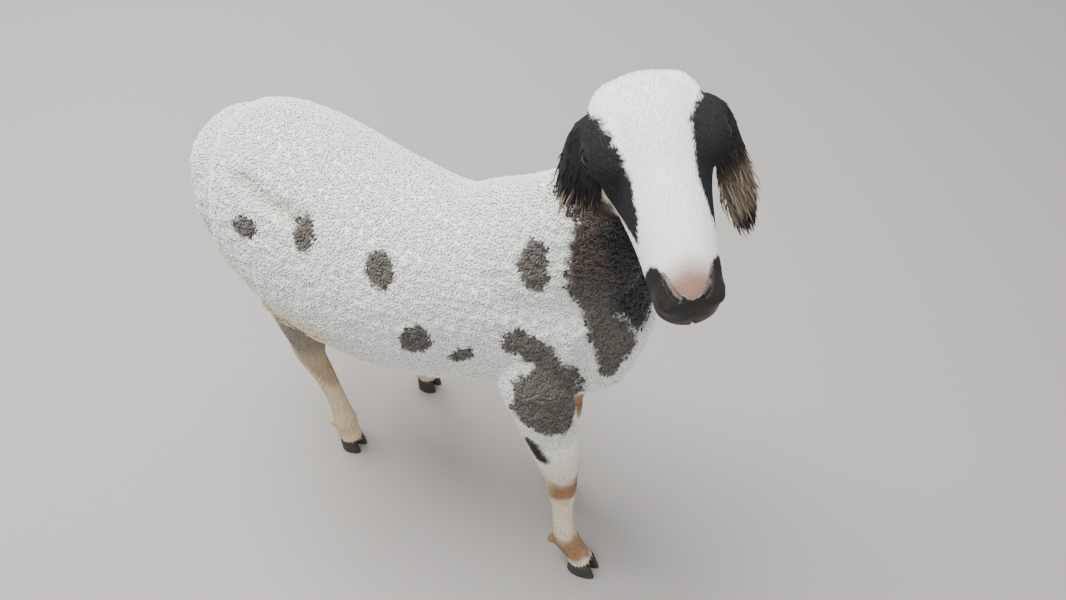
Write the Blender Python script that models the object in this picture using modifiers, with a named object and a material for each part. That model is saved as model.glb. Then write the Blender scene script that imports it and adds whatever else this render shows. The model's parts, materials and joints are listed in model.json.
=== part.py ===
"""A young dumba sheep, the fat-tailed breed, standing with its head turned and raised.

The animal faces +X, its left side is +Y and the floor is z = 0. Sizes are in metres. The body is modelled
whole, as lofts and swellings fused into one skin, and then parted into named pieces by thin cuts. The
fleece is rounded clumps set close on a core that reaches half way to their tips. The ears are hanging
leaves with long tapered locks."""

import math
import random

import bmesh
import bpy
import numpy as np
from mathutils import Matrix, Vector
from mathutils.bvhtree import BVHTree

# Driving sizes
FLEECE_DEPTH = 0.020
CORE_SINK = 0.010
FLEECE_EDGE_FORE = 0.350  # height down to which it grows on the forelegs
FLEECE_EDGE_HIND = 0.320
FLEECE_FADE = 0.030
LEAST_RADIUS = 0.004
GAP = 0.0003
ORIGIN = Vector((0.041, -0.0035, 0))  # the floor under the middle of the animal, in the sizes below
SEED = 7

# Feet on the floor: x, y
FOOT_FRONT_RIGHT = (0.324, -0.073)
FOOT_FRONT_LEFT = (0.228, 0.042)
FOOT_HIND_RIGHT = (-0.090, -0.066)
FOOT_HIND_LEFT = (-0.042, 0.090)
CORONET = 0.031
DEWCLAW_BACK = 0.019

# Head frame: where the midpoint between the eyes is, and how the head is turned, in degrees
HEAD_POINT = Vector((0.269, 0.008, 0.767))
HEAD_YAW, HEAD_NOD, HEAD_TILT = -52.0, 15.0, 12.3
HEAD_SCALE = 0.96

# Cuts between the pieces: a point and the way to the farther piece; the first is in the head's frame
JAW_CUT = (Vector((0, 0, -0.104)), Vector((0, 0, 1)))
NECK_CUT = (Vector((0.100, 0, 0.603)), Vector((0.55, 0, 0.835)))
TAIL_CUT = (Vector((-0.228, 0, 0.450)), Vector((-1, 0, 0)))
LEG_CUT = 0.294
NECK_MARGIN = 0.012  # how far the rough pieces reach past their cuts
LEG_MARGIN = 0.004
FLEECE_MARGIN = 0.0034

# Voxel sizes and rounds of smoothing that fuse the forms, then how many triangles the pieces keep
FINE_VOXEL, FINE_ROUNDS = 0.0035, 6
FLEECE_VOXEL, FLEECE_ROUNDS = 0.0065, 5
HEAD_TRIANGLES = 1460
LEG_TRIANGLES = 340
FLEECE_TRIANGLES = 1350

# Trunk stations to the tips of the fleece: x, y, height of the middle, half width, half height
TRUNK = (
    (-0.255, 0.004, 0.474, 0.033, 0.042),
    (-0.240, 0.004, 0.474, 0.078, 0.088),
    (-0.205, 0.007, 0.476, 0.108, 0.124),
    (-0.140, -0.001, 0.471, 0.121, 0.139),
    (-0.060, -0.010, 0.458, 0.127, 0.144),
    (0.030, -0.008, 0.457, 0.121, 0.139),
    (0.090, 0.002, 0.465, 0.110, 0.133),
    (0.150, 0.015, 0.472, 0.101, 0.129),
    (0.200, 0.021, 0.474, 0.097, 0.126),
    (0.245, 0.024, 0.464, 0.092, 0.120),
    (0.282, 0.018, 0.460, 0.068, 0.090),
    (0.304, 0.016, 0.458, 0.038, 0.050),
)


def clear_scene():
    for obj in list(bpy.data.objects):
        bpy.data.objects.remove(obj, do_unlink=True)


def link(name, mesh):
    obj = bpy.data.objects.new(name, mesh)
    bpy.context.scene.collection.objects.link(obj)
    return obj


def jaw_plane():
    """The cut between head and neck in the body's frame: a point and the way to the head."""
    place = head_matrix()
    return place @ JAW_CUT[0], (place.to_3x3() @ JAW_CUT[1]).normalized()


def head_matrix():
    """From the head's own frame, x to the nose, y left, z out of the forehead, to the body's."""
    turn = Matrix.Rotation(math.radians(HEAD_YAW), 4, "Z")
    nod = Matrix.Rotation(math.radians(HEAD_NOD), 4, "Y")
    tilt = Matrix.Rotation(math.radians(HEAD_TILT), 4, "X")
    return Matrix.Translation(HEAD_POINT) @ turn @ nod @ tilt @ Matrix.Scale(HEAD_SCALE, 4)


def tube(name, rings, side_hint, sides=20):
    """A closed loft along rings of (centre, half width, half height); side_hint points along the width."""
    centres = [Vector(ring[0]) for ring in rings]
    hint = Vector(side_hint)
    mesh = bmesh.new()
    loops = []
    for index, (_, width, height) in enumerate(rings):
        before = centres[max(index - 1, 0)]
        after = centres[min(index + 1, len(rings) - 1)]
        along = (after - before).normalized()
        across = (hint - along * hint.dot(along)).normalized()
        up = along.cross(across)
        loop = []
        for step in range(sides):
            angle = 2 * math.pi * step / sides
            offset = across * (width * math.cos(angle)) + up * (height * math.sin(angle))
            loop.append(mesh.verts.new(centres[index] + offset))
        loops.append(loop)
    for near, far in zip(loops, loops[1:]):
        for step in range(sides):
            following = (step + 1) % sides
            mesh.faces.new((near[step], near[following], far[following], far[step]))
    mesh.faces.new(list(reversed(loops[0])))
    mesh.faces.new(loops[-1])
    bmesh.ops.recalc_face_normals(mesh, faces=mesh.faces)
    data = bpy.data.meshes.new(name)
    mesh.to_mesh(data)
    mesh.free()
    return link(name, data)


def swelling(name, centre, radii, frame=Matrix.Identity(4), turn=(0, 0, 0)):
    """A ball stretched to three radii, placed in a frame; turn is in degrees about x, y and z."""
    mesh = bmesh.new()
    bmesh.ops.create_uvsphere(mesh, u_segments=24, v_segments=14, radius=1)
    place = Matrix.Translation(Vector(centre))
    for axis, degrees in zip("ZYX", reversed(turn)):
        place = place @ Matrix.Rotation(math.radians(degrees), 4, axis)
    mesh.transform(frame @ place @ Matrix.Diagonal((*radii, 1)))
    data = bpy.data.meshes.new(name)
    mesh.to_mesh(data)
    mesh.free()
    return link(name, data)


def smooth_path(stations, steps):
    """A smooth curve through rows of numbers, centres and sizes alike, with this many steps a stretch."""
    points = [np.array(station, float) for station in stations]
    ends = [2 * points[0] - points[1], *points, 2 * points[-1] - points[-2]]
    found = []
    for index in range(1, len(ends) - 2):
        p0, p1, p2, p3 = ends[index - 1 : index + 3]
        for step in range(steps):
            t = step / steps
            found.append(
                0.5 * (2 * p1 + (p2 - p0) * t + (2 * p0 - 5 * p1 + 4 * p2 - p3) * t**2
                       + (3 * p1 - p0 - 3 * p2 + p3) * t**3)
            )
    found.append(points[-1])
    return found


def rings_of(stations, steps, sink):
    """Loft rings from (x, y, z, half width, half height) stations, sunk by a depth that depends on z."""
    rings = []
    for x, y, z, width, height in smooth_path(stations, steps):
        depth = sink(z)
        rings.append(((x, y, z), max(width - depth, LEAST_RADIUS), max(height - depth, LEAST_RADIUS)))
    return rings


def under_fleece(z):
    return CORE_SINK


def under_leg_fleece(edge):
    """The fleece of a leg fades out over a short stretch above the given height."""
    return lambda z: CORE_SINK * min(1.0, max(0.0, (z - edge) / FLEECE_FADE))


def woolly(radii):
    return tuple(radius - CORE_SINK for radius in radii)


def trunk_forms():
    forms = [tube("trunk", rings_of(TRUNK, 4, under_fleece), (0, 1, 0), 28)]
    for side in (-1, 1):
        forms.append(swelling("haunch", (-0.138, side * 0.058, 0.430), woolly((0.074, 0.050, 0.101))))
        blade = (0.195, 0.020 + side * 0.060, 0.436)
        forms.append(swelling("shoulder", blade, woolly((0.062, 0.038, 0.100))))
    return forms


def tail_forms():
    """The breed's fat tail: two cushions hanging behind the rump, joined in the middle."""
    forms = []
    for side in (-1, 1):
        place = (-0.236, 0.014 + side * 0.044, 0.466)
        forms.append(swelling("cushion", place, woolly((0.046, 0.050, 0.082)), turn=(0, 6, 0)))
    forms.append(swelling("cushion", (-0.248, 0.012, 0.504), woolly((0.050, 0.078, 0.062))))
    return forms


def neck_forms():
    place = head_matrix()
    nape = place @ Vector((-0.040, 0, -0.035))
    stations = [
        (0.120, 0.018, 0.490, 0.088, 0.116),
        (0.172, 0.020, 0.545, 0.084, 0.106),
        (0.213, 0.024, 0.610, 0.064, 0.080),
        (0.240, 0.032, 0.670, 0.053, 0.056),
        (0.250, 0.041, 0.722, 0.047, 0.047),
        (nape.x, nape.y, nape.z, 0.044, 0.048),
    ]
    return [tube("neck", rings_of(stations, 4, under_fleece), (0, 1, 0), 24)]


def fore_leg(foot, shoulder, knee):
    """Stations down a foreleg: x, y, z, half width, half length; foot, shoulder and knee are x, y."""
    foot_x, foot_y = foot
    shoulder_x, shoulder_y = shoulder
    knee_x, knee_y = knee
    return [
        (shoulder_x - 0.010, 0.6 * shoulder_y, 0.480, 0.026, 0.036),
        (shoulder_x, shoulder_y, 0.435, 0.034, 0.050),
        (shoulder_x + 0.3 * (knee_x - shoulder_x), shoulder_y, 0.385, 0.036, 0.043),
        (shoulder_x + 0.6 * (knee_x - shoulder_x), (2 * shoulder_y + knee_y) / 3, 0.318, 0.032, 0.035),
        (shoulder_x + 0.85 * (knee_x - shoulder_x), (shoulder_y + 3 * knee_y) / 4, 0.262, 0.027, 0.028),
        (knee_x - 0.003, knee_y, 0.228, 0.0235, 0.0235),
        (knee_x, knee_y, 0.203, 0.0225, 0.0225),
        (knee_x + 0.004, knee_y, 0.178, 0.0185, 0.0190),
        (knee_x + 0.2 * (foot_x - knee_x), (knee_y + foot_y) / 2, 0.135, 0.0150, 0.0160),
        (knee_x + 0.33 * (foot_x - knee_x), foot_y, 0.098, 0.0160, 0.0170),
        (knee_x + 0.45 * (foot_x - knee_x), foot_y, 0.075, 0.0195, 0.0205),
        (knee_x + 0.73 * (foot_x - knee_x), foot_y, 0.048, 0.0175, 0.0180),
        (foot_x - 0.002, foot_y, 0.027, 0.0200, 0.0225),
    ]


def hind_leg(foot, side):
    foot_x, foot_y = foot
    hock_x = foot_x - 0.051
    hock_y = (side * 0.070 + foot_y) / 2
    return [
        (hock_x + 0.010, side * 0.050, 0.460, 0.038, 0.056),
        (hock_x + 0.014, side * 0.070, 0.410, 0.043, 0.060),
        (hock_x + 0.019, side * 0.074, 0.360, 0.037, 0.043),
        (hock_x + 0.018, side * 0.073, 0.312, 0.029, 0.031),
        (hock_x + 0.012, (side * 0.073 + hock_y) / 2, 0.275, 0.0225, 0.0275),
        (hock_x + 0.008, hock_y, 0.242, 0.0190, 0.0260),
        (hock_x + 0.019, hock_y, 0.212, 0.0168, 0.0208),
        (hock_x + 0.033, (hock_y + foot_y) / 2, 0.165, 0.0145, 0.0160),
        (hock_x + 0.042, foot_y, 0.105, 0.0152, 0.0168),
        (hock_x + 0.045, foot_y, 0.075, 0.0188, 0.0205),
        (foot_x - 0.005, foot_y, 0.047, 0.0172, 0.0180),
        (foot_x, foot_y, 0.027, 0.0190, 0.0215),
    ]


def leg_forms():
    legs = {
        "leg_front_right": fore_leg(FOOT_FRONT_RIGHT, (0.210, -0.066), (0.267, -0.062)),
        "leg_front_left": fore_leg(FOOT_FRONT_LEFT, (0.200, 0.096), (0.220, 0.058)),
        "leg_hind_right": hind_leg(FOOT_HIND_RIGHT, -1),
        "leg_hind_left": hind_leg(FOOT_HIND_LEFT, 1),
    }
    forms = []
    for name, stations in legs.items():
        sink = under_leg_fleece(FLEECE_EDGE_FORE if "front" in name else FLEECE_EDGE_HIND)
        forms.append(tube(name, rings_of(stations, 3, sink), (0, 1, 0), 20))
    for stations in legs.values():
        fetlock_x, fetlock_y = stations[-3][:2]
        for side in (-1, 1):
            place = (fetlock_x - DEWCLAW_BACK, fetlock_y + side * 0.010, 0.066)
            forms.append(swelling("dewclaw", place, (0.007, 0.006, 0.010), turn=(0, -20, 0)))
    return forms


# Head stations in its own frame: x, top, bottom, half width
HEAD = (
    (-0.086, 0.008, -0.040, 0.026),
    (-0.074, 0.028, -0.066, 0.042),
    (-0.050, 0.044, -0.092, 0.054),
    (-0.020, 0.049, -0.100, 0.058),
    (0.010, 0.045, -0.097, 0.055),
    (0.040, 0.038, -0.088, 0.046),
    (0.072, 0.033, -0.077, 0.040),
    (0.102, 0.024, -0.070, 0.036),
    (0.130, 0.009, -0.066, 0.034),
    (0.149, -0.009, -0.060, 0.028),
    (0.160, -0.026, -0.048, 0.015),
)


def head_forms():
    place = head_matrix()
    rings = []
    for x, top, bottom, half_width in smooth_path(HEAD, 3):
        rings.append(((x, 0, (top + bottom) / 2), half_width, (top - bottom) / 2))
    skull = tube("skull", rings, (0, 1, 0), 28)
    skull.data.transform(place)
    forms = [skull]
    for side in (-1, 1):
        forms.append(swelling("orbit", (-0.003, side * 0.0435, 0.006), (0.037, 0.0262, 0.024), place))
        forms.append(swelling("temple", (-0.030, side * 0.027, -0.006), (0.048, 0.031, 0.036), place))
        forms.append(swelling("arch", (-0.016, side * 0.038, -0.020), (0.050, 0.022, 0.026), place))
        forms.append(swelling("cheek", (-0.030, side * 0.036, -0.052), (0.046, 0.021, 0.042), place))
        forms.append(swelling("nostril_wing", (0.139, side * 0.020, -0.018), (0.018, 0.014, 0.013), place))
    forms.append(swelling("upper_lip", (0.138, 0, -0.042), (0.024, 0.033, 0.017), place))
    forms.append(swelling("chin", (0.126, 0, -0.066), (0.024, 0.023, 0.014), place))
    return forms


def body_forms():
    return trunk_forms() + tail_forms() + neck_forms() + leg_forms() + head_forms()


def fused(name, forms, voxel, rounds):
    """One skin over all the forms: joined, remeshed in voxels and smoothed."""
    bpy.context.view_layer.update()
    for obj in bpy.context.scene.objects:
        obj.select_set(obj in forms)
    bpy.context.view_layer.objects.active = forms[0]
    bpy.ops.object.join()
    whole = forms[0]
    whole.name = name
    remesh = whole.modifiers.new("Remesh", "REMESH")
    remesh.mode = "VOXEL"
    remesh.voxel_size = voxel
    smooth = whole.modifiers.new("Smooth", "SMOOTH")
    smooth.factor = 0.5
    smooth.iterations = rounds
    apply_modifiers(whole)
    return whole


def apply_modifiers(obj):
    graph = bpy.context.evaluated_depsgraph_get()
    data = bpy.data.meshes.new_from_object(obj.evaluated_get(graph))
    obj.modifiers.clear()
    obj.data = data


def copy_of(obj, name):
    return link(name, obj.data.copy())


def thinned(obj, triangles):
    """The same form with about this many triangles."""
    obj.data.calc_loop_triangles()
    modifier = obj.modifiers.new("Decimate", "DECIMATE")
    modifier.ratio = min(1.0, triangles / len(obj.data.loop_triangles))
    apply_modifiers(obj)


def combine(obj, others, operation):
    """One Boolean with a collection of closed meshes, which are used up."""
    pieces = bpy.data.collections.new("pieces")
    bpy.context.scene.collection.children.link(pieces)
    for other in others:
        bpy.context.scene.collection.objects.unlink(other)
        pieces.objects.link(other)
    modifier = obj.modifiers.new("Boolean", "BOOLEAN")
    modifier.operation = operation
    modifier.solver = "MANIFOLD"
    modifier.operand_type = "COLLECTION"
    modifier.collection = pieces
    apply_modifiers(obj)
    for other in others:
        bpy.data.objects.remove(other, do_unlink=True)
    bpy.data.collections.remove(pieces)


def keep_largest(obj):
    """Only the largest closed surface stays, which drops loose scraps and sealed hollows."""
    mesh = bmesh.new()
    mesh.from_mesh(obj.data)
    left = set(mesh.verts)
    shells = []
    while left:
        front = [left.pop()]
        shell = []
        while front:
            vert = front.pop()
            shell.append(vert)
            for edge in vert.link_edges:
                other = edge.other_vert(vert)
                if other in left:
                    left.remove(other)
                    front.append(other)
        shells.append(shell)
    shells.sort(key=len)
    for shell in shells[:-1]:
        bmesh.ops.delete(mesh, geom=shell, context="VERTS")
    mesh.to_mesh(obj.data)
    mesh.free()


def half_space(point, normal, back=0.0):
    """A large block whose near face passes through the point, moved along the normal by back."""
    mesh = bmesh.new()
    bmesh.ops.create_cube(mesh, size=2)
    normal = normal.normalized()
    turn = normal.to_track_quat("Z", "Y").to_matrix().to_4x4()
    mesh.transform(Matrix.Translation(point + normal * (1 + back)) @ turn)
    data = bpy.data.meshes.new("half_space")
    mesh.to_mesh(data)
    mesh.free()
    return link("half_space", data)


def block(low, high):
    mesh = bmesh.new()
    bmesh.ops.create_cube(mesh, size=1)
    centre = (Vector(low) + Vector(high)) / 2
    size = Vector(high) - Vector(low)
    mesh.transform(Matrix.Translation(centre) @ Matrix.Diagonal((*size, 1)))
    data = bpy.data.meshes.new("block")
    mesh.to_mesh(data)
    mesh.free()
    return link("block", data)


def kept_inside(obj, *blocks):
    """Cuts the form down to what lies inside every block."""
    for other in blocks:
        combine(obj, [other], "INTERSECT")
    keep_largest(obj)


def material(name, colour, roughness):
    made = bpy.data.materials.new(name)
    made.use_nodes = True
    shader = made.node_tree.nodes["Principled BSDF"]
    shader.inputs["Base Color"].default_value = (*colour, 1)
    shader.inputs["Roughness"].default_value = roughness
    return made


def finish(obj, name, look):
    """Names the piece, gives it its material and moves it to the model's own origin."""
    obj.name = name
    obj.data.transform(Matrix.Translation(-ORIGIN))
    obj.data.materials.clear()
    obj.data.materials.append(look)
    obj.data.shade_smooth()
    obj.data.set_sharp_from_angle(angle=math.radians(50))
    return obj


# Claws: half length, half width and how far the middle lies ahead of the foot's place, at heights
CLAW = (
    (0.000, 0.0240, 0.0098, 0.0060),
    (0.006, 0.0236, 0.0100, 0.0052),
    (0.018, 0.0212, 0.0098, 0.0026),
    (CORONET - GAP, 0.0186, 0.0092, 0.0000),
)
CLAW_SIDES = 10
CLAW_APART = 0.0087
CLAW_STRETCH = {"front": 0.93, "hind": 0.68}


def claw(foot, side, stretch):
    """One of the two claws of a foot: a flat sole, a narrow toe and a flatter inner wall."""
    mesh = bmesh.new()
    loops = []
    for height, length, width, ahead in CLAW:
        loop = []
        for step in range(CLAW_SIDES):
            angle = 2 * math.pi * step / CLAW_SIDES
            forward = math.cos(angle)
            across = math.sin(angle) * (1 - 0.30 * forward)
            inward = 0.75 if across * side < 0 else 1.0
            x = foot[0] + (ahead + length * forward) * stretch
            y = foot[1] + side * CLAW_APART + width * across * inward
            loop.append(mesh.verts.new((x, y, height)))
        loops.append(loop)
    for near, far in zip(loops, loops[1:]):
        for step in range(CLAW_SIDES):
            following = (step + 1) % CLAW_SIDES
            mesh.faces.new((near[step], near[following], far[following], far[step]))
    mesh.faces.new(list(reversed(loops[0])))
    mesh.faces.new(loops[-1])
    bmesh.ops.recalc_face_normals(mesh, faces=mesh.faces)
    data = bpy.data.meshes.new("claw")
    mesh.to_mesh(data)
    mesh.free()
    return link("claw", data)


# Ears, in the head's frame for the left one: centre line, half width and thickness
EAR = (
    (-0.046, 0.046, -0.010, 0.012, 0.010),
    (-0.036, 0.065, -0.012, 0.016, 0.009),
    (-0.022, 0.076, -0.028, 0.024, 0.007),
    (-0.010, 0.084, -0.056, 0.029, 0.006),
    (0.002, 0.090, -0.086, 0.027, 0.006),
    (0.010, 0.095, -0.112, 0.018, 0.005),
    (0.014, 0.098, -0.130, 0.007, 0.004),
)
EAR_TURN = 32.0  # degrees that the front edge is turned in, towards the cheek
EAR_SWING = {-1: -0.012, 1: 0.014}  # how far the tips swing back and forward, right and left
EAR_INWARD = {-1: 0.005, 1: 0.0}
EAR_CUP = 0.34
EAR_SIDES = 5


def ear_frame(side):
    """The ear's rings: centre, across, outward, half width and thickness, in the body's frame."""
    place = head_matrix()
    rings = []
    tip = EAR[-1][2]
    for x, y, z, width, thick in smooth_path(EAR, 2):
        swing = EAR_SWING[side] * z / tip
        centre = place @ Vector((x + swing, side * (y - EAR_INWARD[side]), z))
        rings.append([centre, width * HEAD_SCALE, thick * HEAD_SCALE])
    turned = place.to_3x3()
    turn = math.radians(EAR_TURN)
    forward = (turned @ Vector((math.cos(turn), -side * math.sin(turn), 0))).normalized()
    found = []
    for index, (centre, width, thick) in enumerate(rings):
        before = rings[max(index - 1, 0)][0]
        after = rings[min(index + 1, len(rings) - 1)][0]
        along = (after - before).normalized()
        across = (forward - along * forward.dot(along)).normalized()
        outward = across.cross(along).normalized()
        if outward.dot(turned @ Vector((0, side, 0))) < 0:
            outward.negate()
        found.append((centre, across, outward, width, thick))
    return found


def ear(side):
    """A hanging leaf, its hollow side turned to the cheek."""
    mesh = bmesh.new()
    loops = []
    for centre, across, outward, width, thick in ear_frame(side):
        loop = []
        for outer in (True, False):
            for step in range(EAR_SIDES):
                t = -1 + 2 * step / (EAR_SIDES - 1)
                t = t if outer else -t
                t *= 1.0 if outer else 0.86
                bow = -EAR_CUP * width * t * t
                lift = thick * (0.5 * (1 - t * t) + 0.12) * (1 if outer else -0.6)
                loop.append(mesh.verts.new(centre + across * (width * t) + outward * (bow + lift)))
        loops.append(loop)
    count = len(loops[0])
    for near, far in zip(loops, loops[1:]):
        for step in range(count):
            following = (step + 1) % count
            mesh.faces.new((near[step], near[following], far[following], far[step]))
    mesh.faces.new(list(reversed(loops[0])))
    mesh.faces.new(loops[-1])
    bmesh.ops.recalc_face_normals(mesh, faces=mesh.faces)
    data = bpy.data.meshes.new("ear")
    mesh.to_mesh(data)
    mesh.free()
    return link("ear", data)


# Long hair of the ears: flat tapered locks
LOCK_LENGTH = 0.044
LOCK_WIDTH = 0.0085
LOCK_THICKNESS = 0.0032
LOCK_BENDS = 4
LOCK_SIDES = 4
LOCK_ROOT = 0.006
# Tiers of locks: how far down the ear, how many, and their share of the full length
LOCK_TIERS = ((0.42, 3, 0.90), (0.60, 4, 1.00), (0.78, 4, 1.00), (0.92, 2, 0.80))


def lock(start, way, across, length, width, thickness, bend):
    """A flat lock that tapers to its tip and bends; its root starts inside what it grows from."""
    rings = []
    point = Vector(start)
    heading = Vector(way).normalized()
    for step in range(LOCK_BENDS + 1):
        t = step / LOCK_BENDS
        taper = (1 - t) ** 0.7 * (1 - 0.25 * (1 - t) ** 6) + 0.06
        rings.append((point.copy(), width * taper, thickness * (0.4 + 0.6 * (1 - t))))
        heading = (heading + bend * (0.5 + t)).normalized()
        point = point + heading * (length / LOCK_BENDS)
    return tube("lock", rings, across, LOCK_SIDES)


def ear_locks(side, draw):
    """Locks in tiers down the outside of the ear, spread over its width and fanned a little."""
    frame = ear_frame(side)
    locks = []
    for place, count, reach in LOCK_TIERS:
        index = round(place * (len(frame) - 1))
        centre, across, outward, width, thick = frame[index]
        along = (centre - frame[index - 1][0]).normalized()
        for number in range(count):
            t = -0.80 + 1.60 * number / (count - 1) + draw.uniform(-0.08, 0.08)
            bow = -EAR_CUP * width * t * t
            root = centre + across * (width * t) + outward * (bow + 0.25 * thick) - along * LOCK_ROOT
            way = along + across * (0.30 * t) + outward * draw.uniform(0.11, 0.21)
            bend = Vector((0, 0, -0.05)) - outward * 0.07 + across * draw.uniform(-0.05, 0.05)
            length = LOCK_LENGTH * reach * draw.uniform(0.85, 1.15)
            half_width = LOCK_WIDTH / 2 * draw.uniform(0.85, 1.15)
            locks.append(lock(root, way, across, length, half_width, LOCK_THICKNESS / 2, bend))
    return locks


def swollen(obj, distance):
    """A copy moved outwards along its normals, which keeps a gap round what it cuts."""
    other = copy_of(obj, "swollen")
    mesh = bmesh.new()
    mesh.from_mesh(other.data)
    mesh.normal_update()
    shifts = [vert.normal * distance for vert in mesh.verts]
    for vert, shift in zip(mesh.verts, shifts):
        vert.co += shift
    mesh.to_mesh(other.data)
    mesh.free()
    return other


# Clumps of the fleece
CLUMP_SPACING = 0.0540
CLUMP_RADIUS = 0.0420
CLUMP_SIDES = 7
CLUMP_ROOT = 0.007
CLUMP_TRIES = 24000
CLUMP_FROM_JAW = 0.024


def clump(tree, point, normal, radius, height, turn):
    """A rounded dome that follows the skin under it; its flat underside lies well inside the core."""
    rings = ((-CLUMP_ROOT, 1.00), (0.45 * height, 0.80), (height, 0.34))  # rise and share of the radius
    mesh = bmesh.new()
    frame = normal.to_track_quat("Z", "Y").to_matrix()
    loops = []
    for rise, share in rings:
        loop = []
        for step in range(CLUMP_SIDES):
            angle = turn + 2 * math.pi * step / CLUMP_SIDES
            offset = Vector((radius * share * math.cos(angle), radius * share * math.sin(angle), 0))
            skin, up, _, _ = tree.find_nearest(point + frame @ offset)
            loop.append(mesh.verts.new(skin + (up + normal).normalized() * rise))
        loops.append(loop)
    for near, far in zip(loops, loops[1:]):
        for step in range(CLUMP_SIDES):
            following = (step + 1) % CLUMP_SIDES
            mesh.faces.new((near[step], near[following], far[following], far[step]))
    mesh.faces.new(list(reversed(loops[0])))
    mesh.faces.new(loops[-1])
    data = bpy.data.meshes.new("clump")
    mesh.to_mesh(data)
    mesh.free()
    return link("clump", data)


def scattered(obj, spacing, seed, allowed):
    """Points spread over a skin at least a spacing apart, with the skin's direction at each."""
    data = obj.data
    data.calc_loop_triangles()
    points = np.array([vert.co for vert in data.vertices])
    faces = np.array([triangle.vertices for triangle in data.loop_triangles])
    corners = points[faces]
    normals = np.cross(corners[:, 1] - corners[:, 0], corners[:, 2] - corners[:, 0])
    areas = np.linalg.norm(normals, axis=1)
    draw = np.random.default_rng(seed)
    tries = draw.choice(len(faces), CLUMP_TRIES, p=areas / areas.sum())
    weights = draw.dirichlet((1, 1, 1), len(tries))
    spots = np.einsum("ij,ijk->ik", weights, corners[tries])
    ups = normals[tries] / areas[tries, None]
    kept = []
    for spot, up in zip(spots, ups):
        if not allowed(spot):
            continue
        if all(np.dot(spot - other, spot - other) > spacing**2 for other, _ in kept):
            kept.append((spot, up))
    return kept


def fleece_grows(spot):
    """Whether clumps grow here: on the trunk, tail and neck, and down to the edges on the legs."""
    point, normal = jaw_plane()
    if (Vector(spot) - point).dot(normal) > -CLUMP_FROM_JAW:
        return False
    stations = np.array(TRUNK)
    _, y, z, width, height = (np.interp(spot[0], stations[:, 0], column) for column in stations.T)
    if ((spot[1] - y) / width) ** 2 + ((spot[2] - z) / height) ** 2 < 1.0:
        return True
    return spot[2] > (FLEECE_EDGE_FORE if spot[0] > 0 else FLEECE_EDGE_HIND) + FLEECE_FADE


def clumps_on(obj):
    draw = random.Random(SEED)
    tree = BVHTree.FromObject(obj, bpy.context.evaluated_depsgraph_get())
    found = []
    for spot, up in scattered(obj, CLUMP_SPACING, SEED, fleece_grows):
        radius = CLUMP_RADIUS * draw.uniform(0.92, 1.10)
        height = (FLEECE_DEPTH - CORE_SINK) * draw.uniform(0.85, 1.12)
        found.append(clump(tree, Vector(spot), Vector(up), radius, height, draw.uniform(0, math.pi)))
    return found


# Eyes, in the head's frame for the left one
EYE_CENTRE = Vector((0.000, 0.0555, 0.0040))
EYE_RADIUS = 0.0135
LID_RADIUS = 0.0163
EYE_LOOK = Vector((0.42, 0.80, 0.45))
# The opening between the lids: half length, half height, how deep it starts and ends, and its sides
OPENING = (0.0098, 0.0058)
OPENING_DEPTHS = ((0.004, 0.75), (0.030, 1.5))
OPENING_SIDES = 10


def eye_place(side):
    """The eye's middle and the way it looks, in the head's frame."""
    centre = Vector((EYE_CENTRE.x, side * EYE_CENTRE.y, EYE_CENTRE.z))
    return centre, Vector((EYE_LOOK.x, side * EYE_LOOK.y, EYE_LOOK.z)).normalized()


def eye_ball(side, radius):
    centre, look = eye_place(side)
    mesh = bmesh.new()
    bmesh.ops.create_uvsphere(mesh, u_segments=12, v_segments=7, radius=radius)
    turn = look.to_track_quat("Z", "X").to_matrix().to_4x4()
    mesh.transform(head_matrix() @ Matrix.Translation(centre) @ turn)
    data = bpy.data.meshes.new("eye")
    mesh.to_mesh(data)
    mesh.free()
    return link("eye", data)


def eye_opening(side):
    """An almond between the lids, as a cutter that runs out from the eye's middle."""
    centre, out = eye_place(side)
    slope = Vector((1, 0, -0.32))
    forward = (slope - out * slope.dot(out)).normalized()
    up = out.cross(forward)
    if up.z < 0:
        up.negate()
    place = head_matrix()
    mesh = bmesh.new()
    loops = []
    for depth, grow in OPENING_DEPTHS:
        loop = []
        for step in range(OPENING_SIDES):
            angle = 2 * math.pi * step / OPENING_SIDES
            along = OPENING[0] * math.cos(angle)
            over = OPENING[1] * math.sin(angle) * abs(math.sin(angle)) ** 0.35
            spot = centre + out * depth + (forward * along + up * over) * grow
            loop.append(mesh.verts.new(place @ spot))
        loops.append(loop)
    for step in range(OPENING_SIDES):
        following = (step + 1) % OPENING_SIDES
        mesh.faces.new((loops[0][step], loops[0][following], loops[1][following], loops[1][step]))
    mesh.faces.new(list(reversed(loops[0])))
    mesh.faces.new(loops[1])
    bmesh.ops.recalc_face_normals(mesh, faces=mesh.faces)
    data = bpy.data.meshes.new("opening")
    mesh.to_mesh(data)
    mesh.free()
    return link("opening", data)


# Grooves of the face: radii of the mouth's line and the cleft; a nostril's slit as share, width, height
MOUTH_LINE = 0.0016
MOUTH_STEPS = 16
MOUTH_REACH = math.radians(98)
CLEFT_LINE = 0.0013
NOSTRIL = ((0, 0.0016, 0.0016), (0.35, 0.0034, 0.0028), (0.7, 0.0034, 0.0034), (1, 0.0015, 0.0015))
FAR = 0.30


def on_skin(tree, start, direction):
    """Where a ray in the head's frame meets the head, in the body's frame."""
    place = head_matrix()
    origin = place @ Vector(start)
    way = (place.to_3x3() @ Vector(direction)).normalized()
    return tree.ray_cast(origin, way)[0]


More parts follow.
